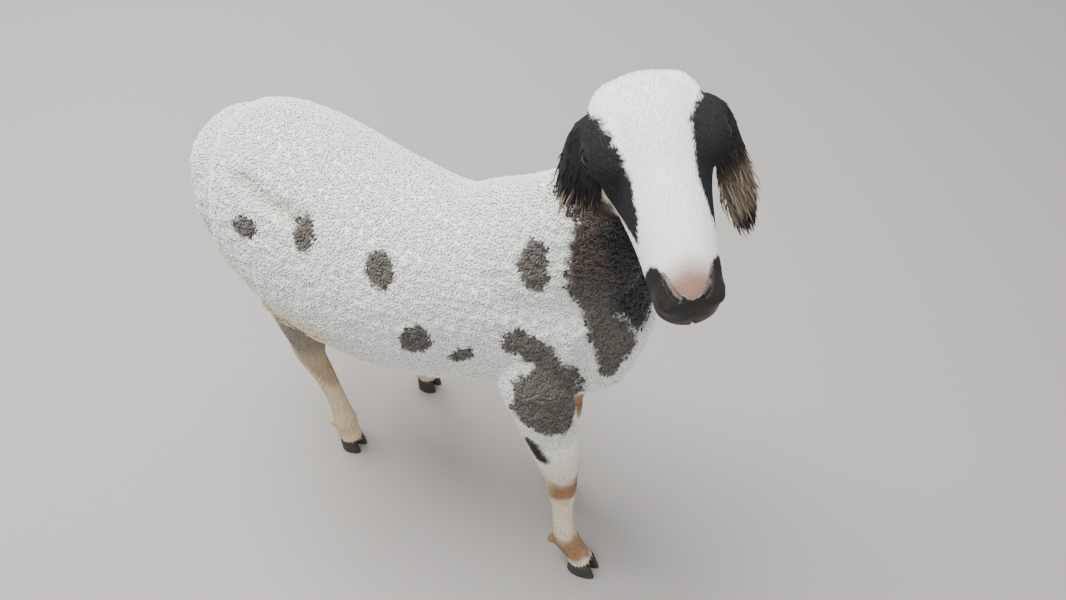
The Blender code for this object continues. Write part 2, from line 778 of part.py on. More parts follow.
def head_cutters(head):
    """Nostrils, the cleft under the nose and the line of the mouth, laid on the skin by rays from outside."""
    tree = BVHTree.FromObject(head, bpy.context.evaluated_depsgraph_get())
    turn = head_matrix().to_3x3()
    mouth = []
    for step in range(MOUTH_STEPS + 1):
        angle = MOUTH_REACH * (2 * step / MOUTH_STEPS - 1)
        height = -0.053 + 0.006 * (1 - math.cos(angle))
        start = (0.105 + 0.12 * math.cos(angle), 0.12 * math.sin(angle), height)
        spot = on_skin(tree, start, (-math.cos(angle), -math.sin(angle), 0))
        mouth.append((spot, MOUTH_LINE, MOUTH_LINE))
    cutters = [tube("mouth", mouth, turn @ Vector((0, 0, 1)), 4)]
    cleft = []
    for height in np.linspace(-0.020, -0.054, 6):
        cleft.append((on_skin(tree, (FAR, 0, height), (-1, 0, 0)), CLEFT_LINE, CLEFT_LINE))
    cutters.append(tube("cleft", cleft, turn @ Vector((0, 1, 0)), 6))
    for side in (-1, 1):
        slit = []
        for share, width, height in NOSTRIL:
            start = (FAR, side * (0.010 + 0.018 * share), -0.020 + 0.013 * share**2)
            slit.append((on_skin(tree, start, (-1, side * -0.10, 0)), width, height))
        cutters.append(tube("nostril", slit, turn @ Vector((1, 0, 0)), 8))
    return cutters


def make_head(whole):
    point, normal = jaw_plane()
    head = copy_of(whole, "head")
    kept_inside(head, half_space(point, normal, -NECK_MARGIN))
    thinned(head, HEAD_TRIANGLES)
    combine(head, [eye_ball(-1, LID_RADIUS), eye_ball(1, LID_RADIUS)], "UNION")
    combine(head, head_cutters(head), "DIFFERENCE")
    combine(head, [eye_ball(-1, EYE_RADIUS + GAP), eye_ball(1, EYE_RADIUS + GAP)], "DIFFERENCE")
    combine(head, [eye_opening(-1), eye_opening(1)], "DIFFERENCE")
    kept_inside(head, half_space(point, normal, GAP / 2))
    return head


def make_ear(side, neighbours):
    """An ear with its locks, cut clear of the pieces that it hangs against."""
    leaf = ear(side)
    combine(leaf, ear_locks(side, random.Random(SEED + side)), "UNION")
    for other in neighbours:
        combine(leaf, [swollen(other, GAP)], "DIFFERENCE")
    keep_largest(leaf)
    return leaf


# Each leg: its foot, then the block that holds it from the floor up, as low and high x, y
LEGS = {
    "front_right": (FOOT_FRONT_RIGHT, (0.13, -0.16), (0.40, -0.0002)),
    "front_left": (FOOT_FRONT_LEFT, (0.13, 0.0002), (0.40, 0.20)),
    "hind_right": (FOOT_HIND_RIGHT, (-0.30, -0.16), (-0.02, -0.0002)),
    "hind_left": (FOOT_HIND_LEFT, (-0.30, 0.0002), (0.03, 0.20)),
}
BELOW = -0.05


def make_leg(whole, name):
    _, low, high = LEGS[name]
    leg = copy_of(whole, name)
    kept_inside(leg, block((*low, BELOW), (*high, LEG_CUT + LEG_MARGIN)))
    thinned(leg, LEG_TRIANGLES)
    kept_inside(leg, block((*low, CORONET), (*high, LEG_CUT - GAP / 2)))
    return leg


def make_fleece(whole):
    """The body under the jaw with its clumps, before it is cut into neck, tail and torso."""
    point, normal = jaw_plane()
    above_legs = block((-0.5, -0.3, LEG_CUT - LEG_MARGIN * 6), (0.6, 0.3, 0.9))
    kept_inside(whole, half_space(point, -normal, -FLEECE_MARGIN), above_legs)
    thinned(whole, FLEECE_TRIANGLES)
    combine(whole, clumps_on(whole), "UNION")
    keep_largest(whole)
    return whole


def fleece_cuts():
    """The blocks that keep each fleece-bearing piece."""
    point, normal = jaw_plane()
    neck_point, neck_way = NECK_CUT
    tail_point, tail_way = TAIL_CUT
    above_legs = block((-0.6, -0.3, LEG_CUT + GAP / 2), (0.6, 0.3, 0.9))
    return {
        "neck": (half_space(point, -normal, GAP / 2), half_space(neck_point, neck_way, GAP / 2)),
        "tail": (half_space(tail_point, tail_way, GAP / 2), above_legs),
        "torso": (half_space(neck_point, -neck_way, GAP / 2), half_space(tail_point, -tail_way, GAP / 2)),
    }


clear_scene()
WHITE_WOOL = material("white_wool", (0.86, 0.86, 0.82), 0.95)
WHITE_HAIR = material("white_hair", (0.84, 0.82, 0.76), 0.8)
TAN_HAIR = material("tan_hair", (0.62, 0.47, 0.28), 0.8)
DARK_HAIR = material("dark_hair", (0.035, 0.030, 0.028), 0.75)
HORN = material("claw_horn", (0.025, 0.023, 0.022), 0.5)
EYE = material("eye", (0.10, 0.045, 0.015), 0.08)
SIDES = {"right": -1, "left": 1}

fine = fused("fine", body_forms(), FINE_VOXEL, FINE_ROUNDS)
fleece = make_fleece(fused("fleece", body_forms(), FLEECE_VOXEL, FLEECE_ROUNDS))

fleece_pieces = {}
for name, blocks in fleece_cuts().items():
    fleece_pieces[name] = copy_of(fleece, name)
    kept_inside(fleece_pieces[name], *blocks)
legs = [block((*low, BELOW), (*high, LEG_CUT + GAP / 2)) for _, low, high in LEGS.values()]
combine(fleece_pieces["torso"], legs, "DIFFERENCE")
keep_largest(fleece_pieces["torso"])

head = make_head(fine)
for which, side in SIDES.items():
    finish(eye_ball(side, EYE_RADIUS), "eye_" + which, EYE)
    finish(make_ear(side, (head, fleece_pieces["neck"])), "ear_" + which, DARK_HAIR)
finish(head, "head", WHITE_HAIR)
for name, piece in fleece_pieces.items():
    finish(piece, name, WHITE_WOOL)

for name, (foot, _, _) in LEGS.items():
    finish(make_leg(fine, name), "leg_" + name, TAN_HAIR)
    stretch = CLAW_STRETCH[name.split("_")[0]]
    for which, side in SIDES.items():
        finish(claw(foot, side, stretch), f"claw_{name}_{which}", HORN)
bpy.data.objects.remove(fleece, do_unlink=True)
bpy.data.objects.remove(fine, do_unlink=True)
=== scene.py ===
# %% [markdown]
# # A young dumba sheep with a full coat
# The breed is fat-tailed and woolly, with hanging ears and a smooth face. This lesson dresses the
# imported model: one skin is made over all of its flesh, tens of thousands of small locks and hairs are
# grown on it, and eyes and claws are fitted.

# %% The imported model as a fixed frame
import json
import math

import bmesh
import bpy
import numpy as np
from mathutils import Matrix, Vector
from mathutils.bvhtree import BVHTree

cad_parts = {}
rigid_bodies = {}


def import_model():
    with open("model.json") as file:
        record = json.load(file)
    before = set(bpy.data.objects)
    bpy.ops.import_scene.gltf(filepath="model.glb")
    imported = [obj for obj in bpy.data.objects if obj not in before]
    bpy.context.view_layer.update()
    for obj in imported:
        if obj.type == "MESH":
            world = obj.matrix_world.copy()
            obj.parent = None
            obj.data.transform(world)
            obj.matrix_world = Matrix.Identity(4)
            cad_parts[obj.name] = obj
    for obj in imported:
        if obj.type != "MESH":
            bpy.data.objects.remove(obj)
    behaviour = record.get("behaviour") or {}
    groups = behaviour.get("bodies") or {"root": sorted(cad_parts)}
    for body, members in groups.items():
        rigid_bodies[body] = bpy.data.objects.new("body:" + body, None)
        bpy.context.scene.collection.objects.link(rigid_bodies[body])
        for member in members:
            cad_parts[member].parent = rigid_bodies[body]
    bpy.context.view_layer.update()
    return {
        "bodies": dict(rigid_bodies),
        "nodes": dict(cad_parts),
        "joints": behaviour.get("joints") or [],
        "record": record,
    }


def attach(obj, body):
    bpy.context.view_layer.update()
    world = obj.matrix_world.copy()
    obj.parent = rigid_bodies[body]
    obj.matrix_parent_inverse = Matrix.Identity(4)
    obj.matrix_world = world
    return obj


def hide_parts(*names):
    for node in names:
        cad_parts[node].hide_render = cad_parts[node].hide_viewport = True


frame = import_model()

# %% [markdown]
# The camera comes first, because everything is judged through it. The photographer stood in front of
# the animal, to its right, with the lens at chest height and pointed well down, and held it a few
# degrees out of level. The camera is built from its place, the way that it looks and its roll.

# %% The camera
CAMERA_PLACE = Vector((0.357, -0.5495, 1.280))
CAMERA_HEADING = Vector((-0.378, 0.926, 0)).normalized()
CAMERA_DOWN, CAMERA_ROLL = math.radians(53), math.radians(-6)
CAMERA_LENS, SENSOR_WIDTH = 28.98, 36  # in millimetres

bpy.ops.object.camera_add()
camera = bpy.context.object
camera.name = "camera"
camera.data.lens, camera.data.sensor_width = CAMERA_LENS, SENSOR_WIDTH
forward = CAMERA_HEADING * math.cos(CAMERA_DOWN) - Vector((0, 0, math.sin(CAMERA_DOWN)))
level = forward.cross(Vector((0, 0, 1))).normalized()
below = forward.cross(level)
image_right = level * math.cos(CAMERA_ROLL) + below * math.sin(CAMERA_ROLL)
image_down = below * math.cos(CAMERA_ROLL) - level * math.sin(CAMERA_ROLL)
camera.matrix_world = Matrix.Translation(CAMERA_PLACE) @ (
    Matrix((image_right, -image_down, -forward)).transposed().to_4x4()
)
bpy.context.scene.camera = camera
print("camera stands", round(CAMERA_PLACE.z, 2), "m high")

# %% [markdown]
# The floor is a plain pale sheet and the light is that of a studio: a pale surround, a large soft lamp
# high above the rump, and a weaker one on the camera's side that opens the shadows.

# %% Floor and lights
FLOOR_SIZE, FLOOR_COLOUR, FLOOR_ROUGHNESS = 14.0, (0.36, 0.335, 0.315, 1), 0.9
SURROUND_COLOUR, SURROUND_STRENGTH = (0.92, 0.96, 1.0, 1), 0.82
LAMPS = (  # name, place, point it looks at, side in metres, watts
    ("key", (-1.0, 0.1, 2.8), (-0.1, 0, 0.5), 1.8, 172),
    ("fill", (1.3, -1.9, 2.3), (0.1, 0, 0.5), 2.2, 42),
)

bpy.ops.object.select_all(action="DESELECT")
bpy.ops.mesh.primitive_plane_add(size=FLOOR_SIZE, location=(0, 0, 0))
floor = bpy.context.object
floor.name = "floor"
paint = bpy.data.materials.new("pale_floor")
paint.use_nodes = True
finish = paint.node_tree.nodes["Principled BSDF"].inputs
finish["Base Color"].default_value = FLOOR_COLOUR
finish["Roughness"].default_value = FLOOR_ROUGHNESS
floor.data.materials.append(paint)

for name, place, target, side, watts in LAMPS:
    bpy.ops.object.light_add(type="AREA", location=place)
    lamp = bpy.context.object
    lamp.name, lamp.data.size, lamp.data.energy = name, side, watts
    lamp.rotation_euler = (Vector(target) - Vector(place)).to_track_quat("-Z", "Y").to_euler()
surround = bpy.data.worlds.new("surround")
surround.use_nodes = True
glow = surround.node_tree.nodes["Background"].inputs
glow["Color"].default_value = SURROUND_COLOUR
glow["Strength"].default_value = SURROUND_STRENGTH
bpy.context.scene.world = surround
print("lamps:", [lamp[0] for lamp in LAMPS])

# %% [markdown]
# The body is measured in stations, as a shipwright would: where the middle of a section lies, and how
# wide and high it is. The tables are those that the solid model was made from, measured from a point
# under the withers. The skin lies deeper than the outline by the depth of the wool.

# %% Sizes of the body
MIDDLE = Vector((0.041, -0.0035, 0))  # the floor under the middle of the animal, in the tables
WOOL_DEPTH = 0.0030  # from the solid outline down to the skin
LEAST_RADIUS = 0.004  # of a hoop, however deep it is sunk
WOOL_EDGE_FORE, WOOL_EDGE_HIND = 0.350, 0.335  # heights at which the wool of the legs begins
WOOL_FADE = 0.030  # how much higher it has its full depth
FEET = {
    "front_right": (0.324, -0.073),
    "front_left": (0.228, 0.042),
    "hind_right": (-0.090, -0.066),
    "hind_left": (-0.042, 0.090),
}
HEAD_POINT = Vector((0.269, 0.008, 0.767))
HEAD_YAW, HEAD_NOD, HEAD_TILT = -52.0, 15.0, 12.3  # in degrees
HEAD_SCALE = 0.96  # of the head's table
NAPE = Vector((-0.040, 0, -0.035))  # where the neck ends, in the head's own frame

TRUNK = (  # x, y, height of the middle, half width, half height
    (-0.255, 0.004, 0.474, 0.033, 0.042),
    (-0.240, 0.004, 0.474, 0.078, 0.088),
    (-0.205, 0.007, 0.476, 0.108, 0.124),
    (-0.140, -0.001, 0.471, 0.121, 0.139),
    (-0.060, -0.010, 0.458, 0.127, 0.144),
    (0.030, -0.008, 0.457, 0.121, 0.139),
    (0.090, 0.002, 0.465, 0.110, 0.133),
    (0.150, 0.015, 0.472, 0.101, 0.129),
    (0.200, 0.021, 0.474, 0.097, 0.126),
    (0.245, 0.024, 0.464, 0.092, 0.120),
    (0.282, 0.018, 0.460, 0.068, 0.090),
    (0.304, 0.016, 0.458, 0.038, 0.050),
)
HEAD = (  # in the head's own frame: x towards the nose, top, bottom, half width
    (-0.086, 0.008, -0.040, 0.026),
    (-0.074, 0.028, -0.066, 0.042),
    (-0.050, 0.044, -0.092, 0.054),
    (-0.020, 0.049, -0.100, 0.058),
    (0.010, 0.045, -0.097, 0.055),
    (0.040, 0.038, -0.088, 0.046),
    (0.072, 0.033, -0.077, 0.040),
    (0.102, 0.024, -0.070, 0.036),
    (0.130, 0.009, -0.066, 0.034),
    (0.149, -0.009, -0.060, 0.028),
    (0.160, -0.026, -0.048, 0.015),
)


def head_in_tables():
    """From the head's own frame, x to the nose, y left, z out of the forehead, to the tables' frame."""
    turn = Matrix.Rotation(math.radians(HEAD_YAW), 4, "Z")
    nod = Matrix.Rotation(math.radians(HEAD_NOD), 4, "Y")
    tilt = Matrix.Rotation(math.radians(HEAD_TILT), 4, "X")
    return Matrix.Translation(HEAD_POINT) @ turn @ nod @ tilt @ Matrix.Scale(HEAD_SCALE, 4)


head_place = Matrix.Translation(-MIDDLE) @ head_in_tables()
nape = head_in_tables() @ NAPE
NECK = (
    (0.120, 0.018, 0.490, 0.088, 0.116),
    (0.172, 0.020, 0.545, 0.084, 0.106),
    (0.213, 0.024, 0.610, 0.064, 0.080),
    (0.240, 0.032, 0.670, 0.053, 0.056),
    (0.250, 0.041, 0.722, 0.047, 0.047),
    (nape.x, nape.y, nape.z, 0.044, 0.048),
)
print("head is turned", HEAD_YAW, "degrees and", round(HEAD_POINT.z, 3), "m up")

# %% [markdown]
# The legs are stations too. A foreleg runs from the shoulder through the knee to the foot, and a hind
# leg bends back at the hock. The functions take the places that differ from leg to leg.

# %% Stations of the legs


def fore_leg(foot, shoulder, knee):
    foot_x, foot_y = foot
    shoulder_x, shoulder_y = shoulder
    knee_x, knee_y = knee
    return [
        (shoulder_x - 0.010, 0.6 * shoulder_y, 0.480, 0.026, 0.036),
        (shoulder_x, shoulder_y, 0.435, 0.034, 0.050),
        (shoulder_x + 0.3 * (knee_x - shoulder_x), shoulder_y, 0.385, 0.036, 0.043),
        (shoulder_x + 0.6 * (knee_x - shoulder_x), (2 * shoulder_y + knee_y) / 3, 0.318, 0.032, 0.035),
        (shoulder_x + 0.85 * (knee_x - shoulder_x), (shoulder_y + 3 * knee_y) / 4, 0.262, 0.027, 0.028),
        (knee_x - 0.003, knee_y, 0.228, 0.0235, 0.0235),
        (knee_x, knee_y, 0.203, 0.0225, 0.0225),
        (knee_x + 0.004, knee_y, 0.178, 0.0185, 0.0190),
        (knee_x + 0.2 * (foot_x - knee_x), (knee_y + foot_y) / 2, 0.135, 0.0150, 0.0160),
        (knee_x + 0.33 * (foot_x - knee_x), foot_y, 0.098, 0.0160, 0.0170),
        (knee_x + 0.45 * (foot_x - knee_x), foot_y, 0.075, 0.0195, 0.0205),
        (knee_x + 0.73 * (foot_x - knee_x), foot_y, 0.048, 0.0175, 0.0180),
        (foot_x - 0.002, foot_y, 0.027, 0.0200, 0.0225),
    ]


def hind_leg(foot, side):
    foot_x, foot_y = foot
    hock_x = foot_x - 0.051
    hock_y = (side * 0.070 + foot_y) / 2
    return [
        (hock_x + 0.010, side * 0.050, 0.460, 0.038, 0.056),
        (hock_x + 0.014, side * 0.070, 0.410, 0.043, 0.060),
        (hock_x + 0.019, side * 0.074, 0.360, 0.037, 0.043),
        (hock_x + 0.018, side * 0.073, 0.312, 0.029, 0.031),
        (hock_x + 0.012, (side * 0.073 + hock_y) / 2, 0.275, 0.0225, 0.0275),
        (hock_x + 0.008, hock_y, 0.242, 0.0190, 0.0260),
        (hock_x + 0.019, hock_y, 0.212, 0.0168, 0.0208),
        (hock_x + 0.033, (hock_y + foot_y) / 2, 0.165, 0.0145, 0.0160),
        (hock_x + 0.042, foot_y, 0.105, 0.0152, 0.0168),
        (hock_x + 0.045, foot_y, 0.075, 0.0188, 0.0205),
        (foot_x - 0.005, foot_y, 0.047, 0.0172, 0.0180),
        (foot_x, foot_y, 0.027, 0.0190, 0.0215),
    ]


LEGS = {
    "front_right": fore_leg(FEET["front_right"], (0.210, -0.066), (0.267, -0.062)),
    "front_left": fore_leg(FEET["front_left"], (0.200, 0.096), (0.220, 0.058)),
    "hind_right": hind_leg(FEET["hind_right"], -1),
    "hind_left": hind_leg(FEET["hind_left"], 1),
}
print("legs:", {name: len(stations) for name, stations in LEGS.items()})

# %% [markdown]
# A row of stations becomes a tube. A smooth curve is run through them, a hoop is added at each point of
# the curve, and each hoop is bridged to the one before, as a basket is built on its ribs. Muscles and
# bony places are balls stretched to three radii. Both start as primitives at their size and place.

# %% Hoops and swellings
LEFT = Vector((0, 1, 0))
BODY_STEPS, LEG_STEPS = 3, 2  # hoops for each stretch between two stations
TRUNK_SIDES, NECK_SIDES, LEG_SIDES = 28, 24, 20
BALL_SEGMENTS, BALL_RINGS = 24, 14


def at_rest():
    """Back to object mode with nothing selected, because an operator acts on all that is."""
    if bpy.context.mode != "OBJECT":
        bpy.ops.object.mode_set(mode="OBJECT")
    bpy.ops.object.select_all(action="DESELECT")


def make_active(obj):
    """Makes an object the only one that is selected, and the active one."""
    at_rest()
    obj.select_set(True)
    bpy.context.view_layer.objects.active = obj


def smooth_path(stations, steps):
    """A smooth curve through rows of numbers, with this many steps a stretch."""
    points = [np.array(station, float) for station in stations]
    ends = [2 * points[0] - points[1], *points, 2 * points[-1] - points[-2]]
    found = []
    for index in range(1, len(ends) - 2):
        p0, p1, p2, p3 = ends[index - 1 : index + 3]
        for step in range(steps):
            t = step / steps
            found.append(
                0.5 * (2 * p1 + (p2 - p0) * t + (2 * p0 - 5 * p1 + 4 * p2 - p3) * t**2
                       + (3 * p1 - p0 - 3 * p2 + p3) * t**3)
            )
    found.append(points[-1])
    return found


def tube(rings, side_hint, sides):
    """A closed tube over rings of (centre, half width, half height); side_hint points along the width."""
    at_rest()
    centres = [Vector(ring[0]) for ring in rings]
    for index, (_, width, height) in enumerate(rings):
        before, after = centres[max(index - 1, 0)], centres[min(index + 1, len(rings) - 1)]
        along = (after - before).normalized()
        across = (side_hint - along * side_hint.dot(along)).normalized()
        turn = Matrix((across, along.cross(across), along)).transposed()
        bpy.ops.mesh.primitive_circle_add(
            vertices=sides, radius=1, location=centres[index], rotation=turn.to_euler()
        )
        if index == 0:
            bpy.ops.object.transform_apply(location=True, rotation=True, scale=True)
            bpy.ops.object.mode_set(mode="EDIT")
            bpy.ops.mesh.select_all(action="SELECT")
        bpy.ops.transform.resize(
            value=(width, height, 1), orient_type="GLOBAL", orient_matrix=turn,
            orient_matrix_type="GLOBAL", center_override=centres[index],
        )
        bpy.ops.mesh.select_all(action="DESELECT")
    made = bpy.context.object
    mesh = bmesh.from_edit_mesh(made.data)
    for index in range(len(rings) - 1):
        mesh.verts.ensure_lookup_table()
        pick(mesh, lambda vert: index * sides <= vert.index < (index + 2) * sides)
        bpy.ops.mesh.bridge_edge_loops()
    for index in (0, len(rings) - 1):
        pick(mesh, lambda vert: index * sides <= vert.index < (index + 1) * sides)
        bpy.ops.mesh.edge_face_add()
    end_with_faces_out()
    return made


def end_with_faces_out():
    """Turns all faces of the edited mesh outward, and ends the editing."""
    bpy.ops.mesh.select_all(action="SELECT")
    bpy.ops.mesh.normals_make_consistent(inside=False)
    bpy.ops.object.mode_set(mode="OBJECT")


def pick(mesh, wanted):
    """Selects the vertices that are wanted, and the edges and faces between them, in edit mode."""
    bpy.ops.mesh.select_all(action="DESELECT")
    for vert in mesh.verts:
        vert.select = wanted(vert)
    mesh.select_flush(True)


def swelling(centre, radii, frame=Matrix.Identity(4), lean=0.0):
    """A ball stretched to three radii, in a frame, leant about its y axis by some degrees."""
    at_rest()
    place = frame @ Matrix.Translation(Vector(centre)) @ Matrix.Rotation(math.radians(lean), 4, "Y")
    spot, turn, scale = place.decompose()
    bpy.ops.mesh.primitive_uv_sphere_add(
        segments=BALL_SEGMENTS, ring_count=BALL_RINGS, radius=1,
        location=spot, rotation=turn.to_euler(), scale=Vector(radii) * scale.x,
    )
    return bpy.context.object


def sunk(stations, steps, sink):
    """Rings from stations, sunk by the depth of the wool at their height."""
    rings = []
    for x, y, z, width, height in smooth_path(stations, steps):
        depth = sink(z)
        rings.append(((x, y, z), max(width - depth, LEAST_RADIUS), max(height - depth, LEAST_RADIUS)))
    return rings


def leg_sink(edge):
    """How deep the skin is sunk at a height: not at all below the edge, and by the wool's depth above."""
    return lambda z: WOOL_DEPTH * min(1.0, max(0.0, (z - edge) / WOOL_FADE))


forms = [tube(sunk(TRUNK, BODY_STEPS, lambda z: WOOL_DEPTH), LEFT, TRUNK_SIDES)]
forms.append(tube(sunk(NECK, BODY_STEPS, lambda z: WOOL_DEPTH), LEFT, NECK_SIDES))
for name, stations in LEGS.items():
    edge = WOOL_EDGE_FORE if "front" in name else WOOL_EDGE_HIND
    forms.append(tube(sunk(stations, LEG_STEPS, leg_sink(edge)), LEFT, LEG_SIDES))
print("tubes:", len(forms), "with", sum(len(form.data.vertices) for form in forms), "vertices")

# %% [markdown]
# The haunches, shoulder blades and dewclaws swell out of the tubes, and the fat tail hangs behind as two
# cushions joined in the middle. The skull is a tube in the head's own frame, with swellings for brow,
# temple, cheek, nostrils, lip and chin.

# %% Swellings of the body and the head
WOOLLY = (  # centre x, share of the side, extra y, z, three radii, lean
    (-0.138, 0.058, 0, 0.430, (0.074, 0.050, 0.101), 0),
    (0.195, 0.060, 0.020, 0.436, (0.062, 0.038, 0.100), 0),
    (-0.236, 0.044, 0.014, 0.466, (0.046, 0.050, 0.082), 6),
)
BONY = (  # in the head's frame, for the left side: centre and radii
    ((-0.003, 0.0435, 0.006), (0.037, 0.0262, 0.024)),
    ((-0.030, 0.027, -0.006), (0.048, 0.031, 0.036)),
    ((-0.016, 0.038, -0.020), (0.050, 0.022, 0.026)),
    ((-0.030, 0.036, -0.052), (0.046, 0.021, 0.042)),
    ((0.139, 0.020, -0.018), (0.018, 0.014, 0.013)),
)
LIP_AND_CHIN = (((0.138, 0, -0.042), (0.024, 0.033, 0.017)), ((0.126, 0, -0.066), (0.024, 0.023, 0.014)))
TAIL_ROOT = ((-0.248, 0.012, 0.504), (0.050, 0.078, 0.062))  # centre and radii
DEWCLAW_BACK, DEWCLAW_APART, DEWCLAW_HEIGHT = 0.019, 0.010, 0.066  # from the middle of the fetlock
DEWCLAW_RADII, DEWCLAW_LEAN = (0.007, 0.006, 0.010), -20
SKULL_SIDES = 28


def woolly_swelling(centre, radii, lean=0.0):
    """A swelling that is sunk by the depth of the wool."""
    return swelling(centre, [radius - WOOL_DEPTH for radius in radii], lean=lean)


for x, reach, extra, z, radii, lean in WOOLLY:
    for side in (-1, 1):
        forms.append(woolly_swelling((x, extra + side * reach, z), radii, lean))
forms.append(woolly_swelling(*TAIL_ROOT))
for stations in LEGS.values():
    fetlock_x, fetlock_y = stations[-3][:2]
    for side in (-1, 1):
        place = (fetlock_x - DEWCLAW_BACK, fetlock_y + side * DEWCLAW_APART, DEWCLAW_HEIGHT)
        forms.append(swelling(place, DEWCLAW_RADII, lean=DEWCLAW_LEAN))

skull_rings = [
    ((x, 0, (top + bottom) / 2), width, (top - bottom) / 2)
    for x, top, bottom, width in smooth_path(HEAD, BODY_STEPS)
]
skull = tube(skull_rings, LEFT, SKULL_SIDES)
skull.matrix_world = head_in_tables()
forms.append(skull)
for centre, radii in BONY:
    for side in (-1, 1):
        forms.append(swelling((centre[0], side * centre[1], centre[2]), radii, head_in_tables()))
for centre, radii in LIP_AND_CHIN:
    forms.append(swelling(centre, radii, head_in_tables()))
print("forms to fuse:", len(forms))

# %% [markdown]
# Real skin runs over all of this without a seam. So the forms are joined, turned into one closed surface
# by a voxel remesh, and smoothed until the joins are gone. The skin is then moved in a little, because
# the hairs that lie on it bring the face and legs back out to their true size.

# %% One skin over everything
SKIN_VOXEL, SMOOTH_SHARE, SMOOTH_ROUNDS = 0.0042, 0.5, 5
HAIR_DEPTH = 0.0012  # from the smooth outline down to the skin


def apply_modifier(obj, kind, **settings):
    make_active(obj)
    modifier = obj.modifiers.new(kind.title(), kind)
    for name, value in settings.items():
        setattr(modifier, name, value)
    bpy.ops.object.modifier_apply(modifier=modifier.name)


def joined(pieces, name):
    """One object from several, with its place in its mesh."""
    at_rest()
    for piece in pieces:
        piece.select_set(True)
    bpy.context.view_layer.objects.active = pieces[0]
    bpy.ops.object.join()
    made = bpy.context.object
    made.name = made.data.name = name
    bpy.ops.object.transform_apply(location=True, rotation=True, scale=True)
    return made


skin = joined(forms, "skin")
apply_modifier(skin, "REMESH", mode="VOXEL", voxel_size=SKIN_VOXEL)
apply_modifier(skin, "SMOOTH", factor=SMOOTH_SHARE, iterations=SMOOTH_ROUNDS)
apply_modifier(skin, "DISPLACE", strength=-HAIR_DEPTH, mid_level=0.0)
skin.location = -MIDDLE
bpy.ops.object.transform_apply(location=True, rotation=False, scale=False)
print("skin:", len(skin.data.polygons), "faces")

# %% [markdown]
# The face needs finer folds than the rest, so the skin is halved twice round the eyes and on the
# muzzle. The lids are then drawn over the eyeball's round: skin outside an almond is pushed out onto a
# ball a little larger than the eye, and skin inside it is pulled back behind the eye.

# %% Lids
EYE_CENTRE = Vector((0.000, 0.0555, 0.0040))
EYE_LOOK = Vector((0.42, 0.80, 0.45))
EYE_RADIUS = 0.0135 * HEAD_SCALE
LID_RADIUS, SOCKET_RADIUS = 0.0149, 0.0108
EYE_OPENING = (0.0096, 0.0050)  # half length and half height of the almond
EYE_SLOPE = 0.32  # how much the almond falls towards the nose
ALMOND_CURVE = 1.48  # 2 would be an oval, and less is more pointed
FOLD_DEPTH = 0.0011
FOLD_PLACE, FOLD_WIDTH = 1.75, 0.18  # of the fold over the upper lid, in sizes of the almond
LID_REACH, EYE_DETAIL = 0.026, 0.023  # distances from the middle of the eye
FACE_FRONT, JAW_DEPTH = 0.112, -0.104  # head x of the muzzle and head z under the jaw
DETAIL_DEPTH = -0.12  # head z down to which the muzzle is finer


def points_of(mesh):
    found = np.empty(len(mesh.vertices) * 3)
    mesh.vertices.foreach_get("co", found)
    return found.reshape(-1, 3)


def place_points(mesh, points):
    mesh.vertices.foreach_set("co", points.ravel())
    mesh.update()


def normals_of(mesh):
    found = np.empty(len(mesh.vertices) * 3)
    mesh.vertices.foreach_get("normal", found)
    return found.reshape(-1, 3)


def in_frame(points, place):
    """Points in the frame that a matrix places."""
    back = np.array(place.inverted())
    return points @ back[:3, :3].T + back[:3, 3]


def eye_frame(side):
    """The eye's middle, and the directions forward, up and out of the socket."""
    turned = head_place.to_3x3()
    centre = head_place @ Vector((EYE_CENTRE.x, side * EYE_CENTRE.y, EYE_CENTRE.z))
    out = (turned @ Vector((EYE_LOOK.x, side * EYE_LOOK.y, EYE_LOOK.z))).normalized()
    slope = turned @ Vector((1, 0, -EYE_SLOPE))
    ahead = (slope - out * slope.dot(out)).normalized()
    up = out.cross(ahead)
    if up.dot(turned @ Vector((0, 0, 1))) < 0:
        up.negate()
    return np.array(centre), np.array(ahead), np.array(up), np.array(out)


def refined(obj, wanted, relax=2):
    """Halves the faces whose corners are all wanted, and evens the new corners out."""
    make_active(obj)
    chosen = wanted(points_of(obj.data))
    bpy.ops.object.mode_set(mode="EDIT")
    mesh = bmesh.from_edit_mesh(obj.data)
    pick(mesh, lambda vert: bool(chosen[vert.index]))
    bpy.ops.mesh.subdivide(number_cuts=1, smoothness=0)
    bpy.ops.mesh.vertices_smooth(factor=0.5, repeat=relax)
    bpy.ops.object.mode_set(mode="OBJECT")


def near_detail(points):
    """Round the eyes and on the muzzle, where the face is finest."""
    local = in_frame(points, head_place)
    wanted = (local[:, 0] > FACE_FRONT) & (local[:, 2] > DETAIL_DEPTH)
    for side in (-1, 1):
        wanted |= np.linalg.norm(points - eye_frame(side)[0], axis=1) < EYE_DETAIL
    return wanted


def draw_lids(points, side):
    """Draws the points near one eye over the eyeball outside the almond, and behind it inside."""
    centre, ahead, up, out = eye_frame(side)
    rel = points - centre
    reach = np.linalg.norm(rel, axis=1)
    a, b, c = rel @ ahead, rel @ up, rel @ out
    almond = np.sqrt((a / EYE_OPENING[0]) ** 2 + (np.abs(b) / EYE_OPENING[1]) ** ALMOND_CURVE)
    facing = (c > 0) & (reach < LID_REACH)
    ray = rel / np.maximum(reach, 1e-6)[:, None]
    outer = facing & (almond >= 1) & (reach < LID_RADIUS)
    points[outer] = centre + ray[outer] * LID_RADIUS
    inner = facing & (almond < 1)
    points[inner] = centre + ray[inner] * SOCKET_RADIUS
    fold = FOLD_DEPTH * np.exp(-(((almond - FOLD_PLACE) / FOLD_WIDTH) ** 2)) * (facing & (b > 0))
    points -= out * fold[:, None]


